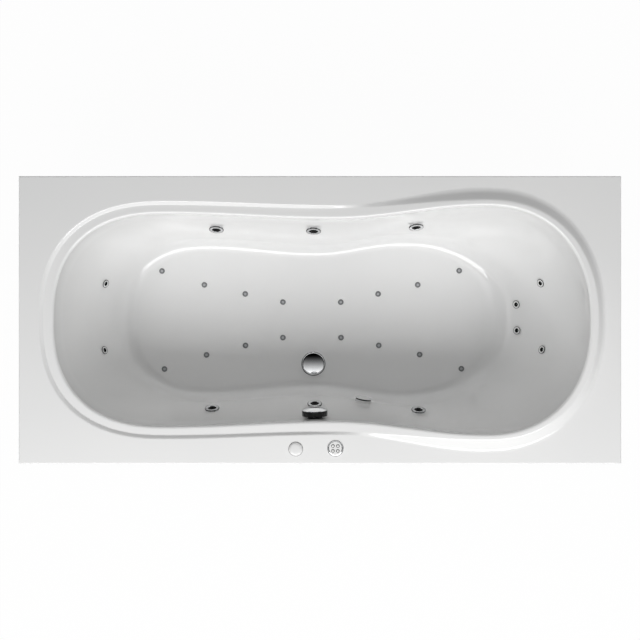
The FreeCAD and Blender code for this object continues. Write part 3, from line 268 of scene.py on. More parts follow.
@dataclass(frozen=True)
class CoatedMetal(Finish):
    """Metal under paint or zinc: spangle or orange peel, scuffed a little."""

    colour: Colour
    worn: Colour
    metallic: float = 0.0
    roughness: Pair = (0.3, 0.5)
    spangle: float = 120.0

    def lay(self, bench: NodeBench, place: Socket) -> None:
        """Lays the spangle, the scuffs and a fine roughness."""
        cells = bench.add("TexVoronoi", Scale=self.spangle)
        bench.link(place, cells.inputs["Vector"])
        scuff = bench.spread(bench.noise(place, 12.0, 8.0, 0.65), 0.0, 1.0, 0.45, 0.8)
        bench.coat(bench.blend(scuff, self.colour, self.worn),
                   bench.spread(cells.outputs["Distance"], *self.roughness, 0.0, 0.8),
                   Metallic=self.metallic)
        bench.dent(bench.noise(place, 220.0, 2.0), 0.1, 0.0005)


@dataclass(frozen=True)
class Timber(Finish):
    """Sawn softwood with its grain along X."""

    early: Colour = (0.66, 0.50, 0.31)
    late: Colour = (0.46, 0.31, 0.17)

    def lay(self, bench: NodeBench, place: Socket) -> None:
        """Lays the growth rings and the fibres."""
        rings = bench.noise(bench.place((1.2, 26.0, 26.0)), 3.0, 6.0, 0.55)
        fibres = bench.noise(bench.place((14.0, 420.0, 420.0)), 1.0, 3.0)
        bench.coat(bench.blend(bench.spread(rings, 0.0, 1.0, 0.4, 0.62), self.early, self.late),
                   bench.spread(fibres, 0.6, 0.85))
        bench.dent(fibres, 0.35, 0.0008)


class Slot(Enum):
    """The record's material slots."""

    ACRYLIC = "acrylic"
    CHROME = "chrome"
    INJECTOR = "injector_grey"
    WHITE = "white_plastic"
    NOZZLE = "nozzle_grey"
    BUTTON = "button_grey"
    PIPE = "pipe_grey"
    BLACK = "black_plastic"
    FRAME = "frame_steel"
    ZINC = "zinc_steel"
    BATTEN = "batten_wood"
    RUBBER = "foot_rubber"
    IMPELLER = "impeller_plastic"
    MOTOR = "motor_paint"
    BOX = "box_grey"


FINISHES: Dict[Slot, Finish] = {
    Slot.ACRYLIC: Acrylic(),
    Slot.CHROME: Chrome(),
    Slot.INJECTOR: Moulded((0.21, 0.215, 0.22), (0.3, 0.45)),
    Slot.WHITE: Moulded((0.84, 0.84, 0.835), (0.14, 0.22), relief=0.04, mottle=0.97),
    Slot.NOZZLE: Moulded((0.004, 0.004, 0.0045), (0.42, 0.55), shine=0.15),
    Slot.BUTTON: Moulded((0.46, 0.47, 0.48), (0.35, 0.5)),
    Slot.PIPE: Moulded((0.62, 0.63, 0.64), (0.3, 0.45), grain=300.0),
    Slot.BLACK: Moulded((0.012, 0.012, 0.013), (0.16, 0.26), shine=0.35),
    Slot.FRAME: CoatedMetal((0.10, 0.11, 0.12), (0.16, 0.17, 0.18), 0.0, (0.32, 0.5)),
    Slot.ZINC: CoatedMetal((0.60, 0.60, 0.57), (0.45, 0.45, 0.43), 0.9, (0.25, 0.48), 260.0),
    Slot.BATTEN: Timber(),
    Slot.RUBBER: Moulded((0.022, 0.022, 0.022), (0.6, 0.8), grain=400.0, relief=0.4),
    Slot.IMPELLER: Moulded((0.30, 0.31, 0.33), (0.35, 0.5)),
    Slot.MOTOR: CoatedMetal((0.045, 0.09, 0.20), (0.07, 0.12, 0.24), 0.0, (0.28, 0.42), 300.0),
    Slot.BOX: Moulded((0.36, 0.38, 0.40), (0.4, 0.55), relief=0.3),
}


class Paintshop:
    """Builds each finish once, when it is first asked for."""

    def __init__(self) -> None:
        """Starts with no material."""
        self._made: Dict[str, bpy.types.Material] = {}

    def of(self, slot: Slot) -> bpy.types.Material:
        """The material of one of the record's slots."""
        return self.extra(slot.value, FINISHES[slot])

    def extra(self, name: str, finish: Finish) -> bpy.types.Material:
        """The material of a finish, under a name of its own."""
        if name not in self._made:
            self._made[name] = finish.material(name)
        return self._made[name]


# ---- Shaping ----------------------------------------------------------------------------------
@dataclass(frozen=True)
class Seat:
    """Where a fitting stands: a point on a wall and the direction that it faces."""

    point: Triple = (0.0, 0.0, 0.0)
    facing: Triple = (0.0, 0.0, 1.0)

    def matrix(self) -> Matrix:
        """The placement of a shape made about +Z."""
        turn = Vector((0.0, 0.0, 1.0)).rotation_difference(self.ahead())
        return Matrix.Translation(self.point) @ turn.to_matrix().to_4x4()

    def ahead(self) -> Vector:
        """The direction that it faces, one metre long."""
        return Vector(self.facing).normalized()

    def at(self, distance: float) -> Vector:
        """The point at a distance in front of the seat, or behind it if negative."""
        return Vector(self.point) + self.ahead() * distance


def stood(name: str, data: bpy.types.ID) -> bpy.types.Object:
    """A new object in the scene that holds some data."""
    made = bpy.data.objects.new(name, data)
    bpy.context.scene.collection.objects.link(made)
    return made


def meshed(name: str, part: Mesh) -> bpy.types.Mesh:
    """Turns an editable mesh into a kept one, and frees it."""
    mesh = bpy.data.meshes.new(name)
    part.to_mesh(mesh)
    part.free()
    return mesh


def poured(part: Mesh, into: Optional[Mesh]) -> Mesh:
    """Adds a mesh to another and frees it, or gives it back where there is no other."""
    if into is None:
        return part
    holder = meshed("holder", part)
    into.from_mesh(holder)
    bpy.data.meshes.remove(holder)
    return into


def soften(part: Mesh, width: float, segments: int = 3, angle: float = 30.0) -> None:
    """Rounds the edges of a mesh that are sharper than an angle, in degrees."""
    limit = math.radians(angle)
    sharp = [e for e in part.edges if len(e.link_faces) == 2 and e.calc_face_angle(0.0) > limit]
    bmesh.ops.bevel(part, geom=sharp, offset=width, offset_type="OFFSET", segments=segments,
                    profile=0.5, affect="EDGES", clamp_overlap=True, material=-1)


def turned(profile: Profile, seat: Seat = Seat(), steps: int = 64, edge: float = 0.0,
           segments: int = 3, into: Optional[Mesh] = None) -> Mesh:
    """Spins a profile about +Z, rounds its corners and stands it on its seat.

    Args:
        profile: (radius, height) points; closed if it starts or ends off the axis.
        seat: where it stands.
        steps: facets round the axis.
        edge: width of the rounding on its corners, or 0.
        segments: facets across each rounding.
        into: a mesh to add it to, or None for a new one.

    Returns:
        The mesh.
    """
    part = bmesh.new()
    verts = [part.verts.new((r, 0.0, h)) for r, h in profile]
    closed = profile[0][0] > 1e-9 or profile[-1][0] > 1e-9
    ends = list(zip(verts, verts[1:])) + ([(verts[-1], verts[0])] if closed else [])
    edges = [part.edges.new(pair) for pair in ends]
    bmesh.ops.spin(part, geom=verts + edges, cent=(0, 0, 0), axis=(0, 0, 1), angle=2 * math.pi,
                   steps=steps, use_merge=True)
    bmesh.ops.remove_doubles(part, verts=part.verts, dist=1e-7)
    bmesh.ops.recalc_face_normals(part, faces=part.faces)
    if edge:
        soften(part, edge, segments)
    bmesh.ops.transform(part, matrix=seat.matrix(), verts=part.verts)
    return poured(part, into)


def leaning(part: Mesh, seat: Seat, radius: float, wedge: float, into: Mesh) -> None:
    """Thickens a fitting towards its foot, so that its face leans up, and pours it in at its seat.

    Args:
        part: the fitting, made about +Z with its back at zero.
        seat: where it stands on the wall.
        radius: the fitting's radius, in metres.
        wedge: how far its face leans, in radians.
        into: the mesh that takes it.
    """
    root, rise = 0.0015, 0.0025
    placing = seat.matrix()
    up = placing.to_3x3().inverted() @ Vector((0.0, 0.0, 1.0))
    up.z = 0.0
    up.normalize()
    for vert in part.verts:
        if vert.co.z > -root:
            low = radius - vert.co.x * up.x - vert.co.y * up.y
            vert.co.z += low * math.tan(wedge) * min(1.0, (vert.co.z + root) / rise)
    bmesh.ops.transform(part, matrix=placing, verts=part.verts)
    poured(part, into)


def slab(low: Triple, high: Triple, edge: float, segments: int = 2) -> Mesh:
    """A block between two corners with rounded edges."""
    part = bmesh.new()
    bmesh.ops.create_cube(part, size=1.0)
    size = Vector(high) - Vector(low)
    bmesh.ops.scale(part, vec=size, verts=part.verts)
    bmesh.ops.translate(part, vec=Vector(low) + size / 2, verts=part.verts)
    soften(part, edge, segments)
    return part


@dataclass(frozen=True)
class Run:
    """A round pipe along straight legs, with an arc at each corner and closed ends."""

    route: Sequence[Triple]
    radius: float
    bend: float
    steps: int = 28
    arc_step: float = 9.0

    def line(self) -> List[Vector]:
        """Points along its centre, an arc's a step in degrees apart."""
        corners = [Vector(point) for point in self.route]
        line = [corners[0]]
        for before, corner, after in zip(corners, corners[1:], corners[2:]):
            back, ahead = (before - corner), (after - corner)
            turn = math.pi - back.angle(ahead)
            if turn < 0.01:
                continue
            reach = min(self.bend * math.tan(turn / 2), 0.45 * back.length, 0.45 * ahead.length)
            start, end = corner + back.normalized() * reach, corner + ahead.normalized() * reach
            count = max(3, int(math.degrees(turn) / self.arc_step))
            for k in range(count + 1):
                share = k / count
                line.append(start * (1 - share) ** 2 + corner * 2 * share * (1 - share) + end * share ** 2)
        return line + [corners[-1]]

    def sweep(self, into: Mesh) -> None:
        """Sweeps the pipe into a mesh."""
        line, steps, radius = self.line(), self.steps, self.radius
        side = (line[1] - line[0]).normalized().orthogonal().normalized()
        rings = []
        for k, point in enumerate(line):
            ahead = (line[min(k + 1, len(line) - 1)] - line[max(k - 1, 0)]).normalized()
            side = (side - ahead * side.dot(ahead)).normalized()
            other = ahead.cross(side)
            rings.append([into.verts.new(point + side * radius * math.cos(a) + other * radius * math.sin(a))
                          for a in (2 * math.pi * n / steps for n in range(steps))])
        for one, two in zip(rings, rings[1:]):
            for n in range(steps):
                into.faces.new((one[n], one[(n + 1) % steps], two[(n + 1) % steps], two[n]))
        into.faces.new(list(reversed(rings[0])))
        into.faces.new(rings[-1])


@dataclass
class Fitter:
    """Turns a mesh into a finished piece of the object."""

    paint: Paintshop

    def piece(self, name: str, part: Mesh, slot: Slot, body: str = "tub",
              stands_for: Iterable[str] = (), also: Sequence[bpy.types.Material] = ()) -> bpy.types.Object:
        """Makes the object, dresses it and lets it ride.

        Args:
            name: the piece's name.
            part: its mesh, in place; it is freed.
            slot: the record's slot that it takes its finish from.
            body: the body that it rides on.
            stands_for: the frame's nodes that it stands for.
            also: further materials, for faces with a higher material index.

        Returns:
            The object.
        """
        mesh = meshed(name, part)
        mesh.shade_smooth()
        mesh.set_sharp_from_angle(angle=CREASE)
        for material in (self.paint.of(slot), *also):
            mesh.materials.append(material)
        made = stood(name, mesh)
        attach(made, body)
        if stands_for:
            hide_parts(*stands_for)
        log.info("%s: %d faces, rides on %s", name, len(mesh.polygons), body)
        return made


# ---- Where the fittings stand -----------------------------------------------------------------
SIDE_JET_SEATS = (
    Seat((-0.312, 0.278999, 0.35), (-0.0434576, -0.9926479, 0.1129676)),
    Seat((-0.019, 0.270651, 0.405), (-0.018962, -0.994252, 0.1053729)),
    Seat((0.292, 0.288655, 0.315), (0.0878585, -0.9910161, 0.1008362)),
    Seat((-0.328, -0.27541, 0.314), (-0.0362775, 0.992923, 0.1130831)),
    Seat((-0.016, -0.260646, 0.328), (-0.0134364, 0.9910867, 0.1325391)),
    Seat((0.303, -0.283783, 0.27), (0.049116, 0.9895759, 0.1353781)),
)
END_JET_SEATS = (
    Seat((-0.66571, 0.113, 0.246), (0.8760, -0.3085, 0.3707)),
    Seat((-0.66982, -0.094, 0.242), (0.8971, 0.2325, 0.3756)),
    Seat((0.67467, 0.113, 0.302), (-0.8212, -0.3248, 0.4692)),
    Seat((0.67968, -0.091, 0.298), (-0.8511, 0.2228, 0.4754)),
    Seat((0.61784, 0.049, 0.193), (-0.7578, -0.1190, 0.6415)),
    Seat((0.61942, -0.033, 0.195), (-0.7625, 0.0730, 0.6429)),
)
FLOOR_Z = 0.140
INJECTOR_SEATS = tuple(Seat((x, y, FLOOR_Z)) for x, y in (
    (-0.503, 0.156), (-0.368, 0.112), (-0.238, 0.083), (-0.118, 0.057),
    (0.066, 0.057), (0.185, 0.083), (0.311, 0.112), (0.443, 0.157),
    (-0.495, -0.156), (-0.361, -0.111), (-0.237, -0.081), (-0.118, -0.056),
    (0.067, -0.056), (0.187, -0.081), (0.317, -0.110), (0.450, -0.155),
))
WASTE_SEAT = Seat((-0.021, -0.139, FLOOR_Z))
OVERFLOW_SEAT = Seat((-0.015, -0.28084, 0.510), (-0.0195130, 0.9974727, 0.0683182))
SUCTION_SEAT = Seat((0.134, -0.2561, 0.212), (0.158, 0.980, 0.121))
KNOB_SEAT = Seat((-0.0685, -0.364, 0.590))
PAD_SEAT = Seat((0.0435, -0.362, 0.590))

# Radius of the holes through the shell, and the seats that have one of it.
HOLES = (
    (0.0124, SIDE_JET_SEATS), (0.0064, END_JET_SEATS), (0.0091, INJECTOR_SEATS), (0.0264, (WASTE_SEAT,)),
    (0.0204, (OVERFLOW_SEAT,)), (0.0190, (SUCTION_SEAT,)), (0.0144, (KNOB_SEAT, PAD_SEAT)),
)


# ---- Shell ------------------------------------------------------------------------------------
@dataclass
class TubShell:
    """The acrylic shell: basin, ring that climbs from a ledge into a collar, flat rim and its skirt.

    A contour is its left end, then the place and half width of its left lobe, its waist and its
    right lobe, and its right end.
    """

    rim: Pair = (1.700, 0.812)
    rim_top: float = 0.590
    basin_depth: float = 0.450
    wall: float = 0.006
    skirt: float = 0.032
    rim_edge: float = 0.003
    lip: float = 0.008
    fillet: float = 0.045
    lean: float = math.radians(9.0)
    basin: Contour = (0.754, -0.437, 0.300, 0.042, 0.285, 0.465, 0.320, 0.759)
    floor: Contour = (0.579, -0.350, 0.213, -0.020, 0.192, 0.254, 0.223, 0.528)
    roundness: Pair = (2.45, 2.25)
    backrest: float = 1.8
    hollow: float = 1.5
    ring_widths: Contour = (0.028, 0.025, 0.030, 0.014, 0.020)
    step_widths: Contour = (0.013, 0.012, 0.010, 0.041, 0.027)
    ledge: float = 0.008
    collar: float = 0.022
    swirl: Pair = (-0.076, 0.556)
    crest: float = 0.16
    foot: float = 0.42
    top_share: float = 0.25
    end_points: int = 36
    waist_points: int = 22
    fillet_levels: int = 10
    wall_levels: int = 26
    top_levels: int = 8
    lip_levels: int = 7
    step_levels: int = 14
    edge_levels: int = 5

    def ring_height(self, x: float) -> float:
        """Height of the ring round the basin at a place along the tub."""
        share = min(1.0, max(0.0, (x - self.swirl[0]) / self.swirl[1]))
        return self.rim_top - self.ledge + (self.ledge + self.collar) * share * share * (3 - 2 * share)

    def grown(self, contour: Contour, widths: Sequence[float]) -> Contour:
        """A contour widened at its left end, left lobe, waist, right lobe and right end."""
        left_end, left_x, left, waist_x, waist, right_x, right, right_end = contour
        return (left_end + widths[0], left_x, left + widths[1], waist_x, waist + widths[2],
                right_x, right + widths[3], right_end + widths[4])

    def outline(self, contour: Contour) -> List[Pair]:
        """Points round a contour: superellipse ends joined by a cosine waist."""
        left_end, left_x, left, waist_x, waist, right_x, right, right_end = contour
        left_power, right_power = (2 / power for power in self.roundness)
        back: List[Pair] = []
        for k in range(self.end_points):
            a = math.pi / 2 * k / self.end_points
            back.append((right_x + (right_end - right_x) * math.cos(a) ** right_power,
                         right * math.sin(a) ** right_power))
        for (x0, w0), (x1, w1) in (((right_x, right), (waist_x, waist)), ((waist_x, waist), (left_x, left))):
            for k in range(self.waist_points):
                share = k / self.waist_points
                swell = 0.5 + 0.5 * math.cos(math.pi * share)
                back.append((x0 + (x1 - x0) * share, w1 + (w0 - w1) * swell))
        for k in range(self.end_points + 1):
            a = math.pi / 2 * (1 - k / self.end_points)
            back.append((left_x - (left_end + left_x) * max(0.0, math.cos(a)) ** left_power,
                         left * math.sin(a) ** left_power))
        return back + [(x, -y) for x, y in reversed(back[1:-1])]

    def rectangle(self, inset: float) -> List[Pair]:
        """Points round the rim's rectangle that go with those of a contour, corners among them."""
        half_x, half_y = self.rim[0] / 2 - inset, self.rim[1] / 2 - inset
        turn = self.end_points // 2
        rest = self.end_points - turn
        right_x, left_x = self.basin[5], self.basin[1]
        back: List[Pair] = [(half_x, half_y * k / turn) for k in range(turn)]
        runs = ((half_x, right_x, rest), (right_x, left_x, 2 * self.waist_points), (left_x, -half_x, turn))
        for start, end, count in runs:
            back += [(start + (end - start) * k / count, half_y) for k in range(count)]
        back += [(-half_x, half_y * (1 - k / rest)) for k in range(rest + 1)]
        return back + [(x, -y) for x, y in reversed(back[1:-1])]

    def contour_at(self, depth: float) -> Contour:
        """The basin's inside contour at a depth below the rim."""
        tangent = self.fillet * math.tan((math.pi / 2 - self.lean) / 2)
        share = depth / self.basin_depth
        above = self.basin_depth - depth
        end_share = 1 - max(0.0, 1 - share ** self.backrest) ** (1 / self.backrest)
        side_share = share ** self.hollow
        numbers: List[float] = []
        for place, (rim, floor) in enumerate(zip(self.basin, self.floor)):
            if place in (0, 7):
                numbers.append(rim + (floor - rim) * end_share)
            elif place in (1, 3, 5):
                numbers.append(rim + (floor - rim) * side_share)
            elif above > self.fillet * (1 - math.sin(self.lean)):
                numbers.append(rim - (rim - floor - tangent) * side_share)
            else:
                numbers.append(floor + self.fillet * math.sqrt(max(0.0, 1 - (1 - above / self.fillet) ** 2)))
        return tuple(numbers)

    def slope(self, share: float) -> float:
        """How far the step outside the ring has come down: tight at its crest, soft at its foot."""
        top = 1 / (1 - (self.crest + self.foot) / 2)
        if share < self.crest:
            return top * share * share / (2 * self.crest)
        if share < 1 - self.foot:
            return top * (share - self.crest / 2)
        return 1 - top * (1 - share) ** 2 / (2 * self.foot)

    def loops(self) -> List[List[Triple]]:
        """Every loop of the shell's face, from the floor out to the foot of the skirt."""
        made: List[List[Triple]] = []

        def level(points: List[Pair], height: Callable[[float], float]) -> None:
            """Adds a loop whose height follows x."""
            made.append([(x, y, height(x)) for x, y in points])

        def flat(depth: float) -> None:
            """Adds the basin's level loop at a depth."""
            level(self.outline(self.contour_at(depth)), lambda x: self.rim_top - depth)

        floor_contour = self.contour_at(self.basin_depth)
        for inset in (0.03, 0.004):
            level(self.outline(self.grown(floor_contour, [-inset] * 5)),
                  lambda x: self.rim_top - self.basin_depth)
        for k in range(self.fillet_levels + 1):
            a = (math.pi / 2 - self.lean) * k / self.fillet_levels
            flat(self.basin_depth - self.fillet * (1 - math.cos(a)))
        low = self.basin_depth - self.fillet * (1 - math.sin(self.lean))
        join = self.top_share * low
        for k in range(1, self.wall_levels + 1):
            flat(low + (join - low) * k / self.wall_levels)
        start = self.rim_top - join
        for k in range(1, self.top_levels + 1):
            share = k / self.top_levels
            level(self.outline(self.contour_at(join * (1 - share))),
                  lambda x: start + (self.ring_height(x) - self.lip - start) * share)
        for k in range(1, self.lip_levels + 1):
            a = math.pi / 2 * k / self.lip_levels
            out, up = self.lip * (1 - math.cos(a)), self.lip * (math.sin(a) - 1)
            level(self.outline(self.grown(self.basin, [out] * 5)), lambda x: self.ring_height(x) + up)
        for share in (0.12, 0.5, 0.88, 1.0):
            widths = [self.lip + (w - self.lip) * share for w in self.ring_widths]
            level(self.outline(self.grown(self.basin, widths)), self.ring_height)
        edge = self.grown(self.basin, self.ring_widths)
        for k in range(1, self.step_levels + 1):
            share = k / self.step_levels
            fall = self.slope(share)
            level(self.outline(self.grown(edge, [w * share for w in self.step_widths])),
                  lambda x: self.ring_height(x) + (self.rim_top - self.ring_height(x)) * fall)
        foot = self.outline(self.grown(edge, self.step_widths))
        rim = self.rectangle(self.rim_edge)
        for share in (0.02, 0.35, 0.7, 0.985, 1.0):
            level([(a + (c - a) * share, b + (d - b) * share) for (a, b), (c, d) in zip(foot, rim)],
                  lambda x: self.rim_top)
        for k in range(1, self.edge_levels + 1):
            a = math.pi / 2 * k / self.edge_levels
            drop = self.rim_edge * (1 - math.cos(a))
            level(self.rectangle(self.rim_edge * (1 - math.sin(a))), lambda x: self.rim_top - drop)
        for drop in (0.006, self.skirt - 0.001, self.skirt):
            level(self.rectangle(0.0), lambda x: self.rim_top - drop)
        return made

    def face(self) -> Mesh:
        """The shell's top face: one loop, extruded and moved level by level."""
        loops = self.loops()
        part = bmesh.new()
        ring = [part.verts.new(p) for p in loops[0]]
        edges = [part.edges.new(pair) for pair in zip(ring, ring[1:] + ring[:1])]
        part.faces.new(ring)
        for points in loops[1:]:
            grown = bmesh.ops.extrude_edge_only(part, edges=edges)["geom"]
            fresh = {g for g in grown if isinstance(g, bmesh.types.BMVert)}
            following = []
            for vert, place in zip(ring, points):
                new = next(e.other_vert(vert) for e in vert.link_edges if e.other_vert(vert) in fresh)
                new.co = place
                following.append(new)
            ring = following
            edges = [part.edges.get(pair) for pair in zip(ring, ring[1:] + ring[:1])]
        bmesh.ops.recalc_face_normals(part, faces=part.faces)
        floor = max(part.faces, key=lambda f: len(f.verts))
        if floor.normal.z < 0:
            bmesh.ops.reverse_faces(part, faces=part.faces)
        return part

    def drills(self) -> bpy.types.Object:
        """One object of all the drills, each a straight rod through the wall at its seat."""
        part = bmesh.new()
        for radius, seats in HOLES:
            for seat in seats:
                turned([(0.0, -0.020), (radius, -0.020), (radius, 0.030), (0.0, 0.030)], seat, 48, into=part)
        return stood("drills", meshed("drills", part))

    def build(self, fitter: Fitter) -> None:
        """Builds the shell with its thickness and its holes."""
        backing = fitter.paint.extra("glass_fibre", GlassFibre())
        made = fitter.piece("shell", self.face(), Slot.ACRYLIC, stands_for=["tub_shell"], also=[backing])
        thick = made.modifiers.new("thickness", "SOLIDIFY")
        thick.thickness = self.wall
        thick.offset = -1.0
        thick.use_even_offset = True
        thick.material_offset = 1
        thick.material_offset_rim = 0
        drills = self.drills()
        cut = made.modifiers.new("holes", "BOOLEAN")
        cut.operation = "DIFFERENCE"
        cut.solver = "EXACT"
        cut.object = drills
        bpy.context.view_layer.update()
        evaluated = made.evaluated_get(bpy.context.evaluated_depsgraph_get())
        shaped = bpy.data.meshes.new_from_object(evaluated)
        made.modifiers.clear()
        made.data = shaped
        shaped.name = "shell"
        shaped.shade_smooth()
        shaped.set_sharp_from_angle(angle=CREASE)
        bpy.data.objects.remove(drills)
        log.info("shell: %d faces after drilling", len(shaped.polygons))


# ---- Fittings in the walls --------------------------------------------------------------------
@dataclass(frozen=True)
class Turning:
    """A turned piece: its profile, finish and facets, the nodes that it stands for and its body."""

    name: str
    profile: Profile
    slot: Slot
    steps: int = 72
    nodes: Tuple[str, ...] = ()
    body: str = "tub"
    edge: float = 0.0
    segments: int = 1

    def build(self, fitter: Fitter, *seats: Seat) -> None:
        """Builds one piece with a turning at each seat."""
        part = bmesh.new()
        for seat in seats:
            turned(self.profile, seat, self.steps, self.edge, self.segments, part)
        fitter.piece(self.name, part, self.slot, self.body, self.nodes)


@dataclass(frozen=True)
class WallJets:
    """Jets in a wall: layers that stand thicker at their foot, so that they look up."""

    seats: Tuple[Seat, ...]
    radius: float
    wedge: float
    layers: Tuple[Turning, ...]

    def build(self, fitter: Fitter) -> None:
        """Builds each layer of all the jets as one piece."""
        for layer in self.layers:
            part = bmesh.new()
            for seat in self.seats:
                fitting = turned(layer.profile, steps=layer.steps)
                leaning(fitting, seat, self.radius, math.radians(self.wedge), part)
            fitter.piece(layer.name, part, layer.slot, stands_for=layer.nodes)


SIDE_JETS = WallJets(SIDE_JET_SEATS, 0.022, 13.0, (
    Turning("jet_trims", mm(
        (20.7, -2), (20.7, 2.6), (20.3, 3.5), (19.4, 3.6), (18, 3.2), (16, 3.2), (14.2, 3.6), (13.4, 3.4),
        (13, 2.6), (13, -1), (9.6, -1.2), (9.6, -6.2), (11.9, -6.2), (11.9, -2)),
            Slot.CHROME, 56, ("side_jet_rings",)),
    Turning("jet_cups", mm((12.9, 0), (12.9, 2.2), (12.6, 2.6), (11.8, 2.5), (10, 1.2), (9.7, 0)),
            Slot.NOZZLE, 56),
    # A dark ring round each chrome trim, in the rubber finish: painted shadow of the gap at the trim's outer
    # edge.
    Turning("jet_shadow_rings", mm((20.6, 1), (21.8, 1), (22, 1.5), (22, 2.7), (21.6, 3.4), (20.6, 3.2)),
            Slot.RUBBER, 56),
))
END_JETS = WallJets(END_JET_SEATS, 0.0125, 7.0, (
    Turning("end_jet_rings", mm(
        (11.1, -3), (11.1, 1.6), (10.8, 2.4), (10, 2.4), (9, 2.1), (8, 2.4), (7.1, 2.2), (6.9, 1.4),
        (6.9, -1), (5.8, -1), (5.8, -3)), Slot.WHITE, 40, ("end_jet_faces",)),
    Turning("end_jet_throats", mm((1.8, -0.4), (4, 0.2), (6.2, 1.6), (6.8, 1.6), (6.8, -0.9), (1.8, -0.9)),
            Slot.NOZZLE, 40),
    # A dark ring round each white face, in the rubber finish: painted shadow of the gap at the face's outer
    # edge.
    Turning("end_jet_shadow_rings", mm((11.2, 0.6), (12.3, 0.6), (12.5, 1), (12.5, 1.8), (12.1, 2.4), (11.2, 2.3)),
            Slot.RUBBER, 40),
))
# The nozzle of a side jet: a dark ball with a flared bore, and how far it stands before its seat.
EYEBALL = mm((3, -5), (5.8, -5.2), (8, -4), (9, -1.5), (9, 3), (8.6, 4.8), (7.8, 6), (6.6, 6.4), (5.8, 6),
             (3.6, 1))
EYEBALL_PIVOT = 0.002

# A floor injector: a low cap with slots, and a paler button in it.
INJECTORS = (
    Turning("injector_caps", mm((0, -9.5), (8.65, -9.5), (8.75, 0.2), (8.2, 1.3), (6.8, 1.9), (5.4, 1.9),
                                (4.8, 1), (0, 1)), Slot.INJECTOR, 32, ("air_injectors",)),
    Turning("injector_buttons", mm((0, 1.1), (4, 1.1), (4, 1.6), (3.2, 2), (0, 2)), Slot.BUTTON, 24),
)

# The waste's polished flange, a dark ring at its edge that paints the shade and dark reflection there, and
# the domed cover that lifts from it.
DOME_RADIUS, DOME_TOP, DOME_FALL, DOME_STEPS = 0.0338, 0.0086, 0.0021, 12
WASTE = (
    Turning("waste_ring", mm((24, -0.2), (39, -0.2), (39, 0.8), (37.8, 1.8), (35.6, 2.4), (25, 2.5),
                             (24, 1.5)),
            Slot.CHROME, 96, ("waste_flange",), edge=0.0002),
    # Dark ring: painted shade and dark reflection at the flange's edge.
    Turning("waste_shadow_ring", mm((34.5, 2.5), (37.8, 2.5), (38, 2.8), (37.8, 3), (36.2, 3), (36.1, 2.7),
                             (34.5, 2.7)), Slot.RUBBER, 96),
    Turning("waste_cover", [(DOME_RADIUS * k / DOME_STEPS, DOME_TOP - DOME_FALL * (k / DOME_STEPS) ** 2)
                            for k in range(DOME_STEPS + 1)]
            + mm((35, 5.8), (35.7, 4.8), (36, 3.8), (36, 3.2), (35.2, 2.9), (32, 2.8), (4, 2.8), (4, -37.5),
                 (0, -38)), Slot.CHROME, 96, ("waste_plug",), "plug"),
)

# The overflow's turning grip: a dark band behind a coned front on a spindle.
OVERFLOW = (
    Turning("overflow_band", mm((34.1, 20), (36.6, 20), (37, 19.6), (37, 5.6), (36.4, 4.6), (34.5, 4.5),
                                (33.8, 6)), Slot.BLACK, 96, body="grip"),
    Turning("overflow_drum", mm(
        (0, 29.4), (17.5, 30), (19.5, 29.6), (34.5, 23.6), (36, 22.6), (36.8, 21.2), (36.8, 20.4), (34, 20.2),
        (33.5, 19), (33, 17), (5, 17), (5, -30.5), (0, -31)),
            Slot.CHROME, 96, ("overflow_grip",), "grip", 0.0003, 2),
)

# The suction fitting: a white cover that stands off its base on a post, over a black ring that paints the
# shadow in the gap under the cover.
SUCTION = (
    Turning("suction_base", mm((18.8, -2), (25.2, -2), (25, 6), (24.4, 7.8), (18.8, 7.8)), Slot.WHITE),
    # Black ring: painted shadow in the gap under the cover.
    Turning("suction_shadow_ring", mm((18.8, 8), (23.6, 8), (24, 11.2), (23.6, 11.8), (18.8, 11.8)),
            Slot.NOZZLE),
    Turning("suction_disc", mm(
        (0, 15), (15, 14.9), (21.2, 14.7), (24.8, 14.2), (26.4, 13.6), (27, 12.9), (26.8, 12.3), (25.5, 12.1),
        (4, 12.1), (4, -12), (0, -12)), Slot.WHITE, 72, ("suction_cover",)),
)

# The air control: a domed knob on its spindle, over a dark ring that paints its shadow outline.
KNOB = (
    # Dark ring: painted shadow outline round the knob.
    Turning("dial_shadow_ring", mm((19, 0), (20.3, 0), (20.4, 0.4), (20.2, 0.7), (19.8, 0.7), (19.8, 0.2),
                              (19, 0.2)), Slot.RUBBER),
    Turning("air_dial", mm(
        (0, 6), (8, 5.9), (12.5, 5.6), (15, 5.1), (17, 4.2), (18.4, 3.1), (19.3, 1.9), (19.7, 0.8),
        (19.7, 0.3), (5, 0.3), (5, -25.5), (0, -26)), Slot.WHITE, 72, ("air_knob",), "knob", 0.0002),
)

# The keypad: a dark ring under its bezel that paints the bezel's shadow outline, and the bezel round four
# keys, each a cap in a dark collar that paints the shadow gap round it.
PAD = (
    # Dark ring: painted shadow outline round the bezel.
    Turning("keypad_shadow_ring", mm((20, 0), (22.6, 0), (22.8, 0.5), (22.5, 1), (20, 1)), Slot.RUBBER),
    Turning("keypad_ring", mm((18, 0), (22, 0), (22, 1), (21.5, 2.6), (20.3, 3.7), (19, 4), (18, 3.4)),
            Slot.CHROME, 72, ("keypad_bezel",)),
)
KEY_CAP = mm((0, 4.4), (1.8, 4.3), (2.8, 4), (3.4, 3.4), (3.5, 2.8), (3.5, 1.2), (0, 1.2))
# Dark collars: painted shadow gap round each key.
KEY_SHADOW_RINGS = Turning("key_shadow_rings", mm((3.7, 2.9), (4.8, 2.9), (4.9, 3.3), (4.6, 3.6), (3.8, 3.6),
                                        (3.7, 3.3)), Slot.RUBBER, 40)
KEY_OFFSET = 0.0069


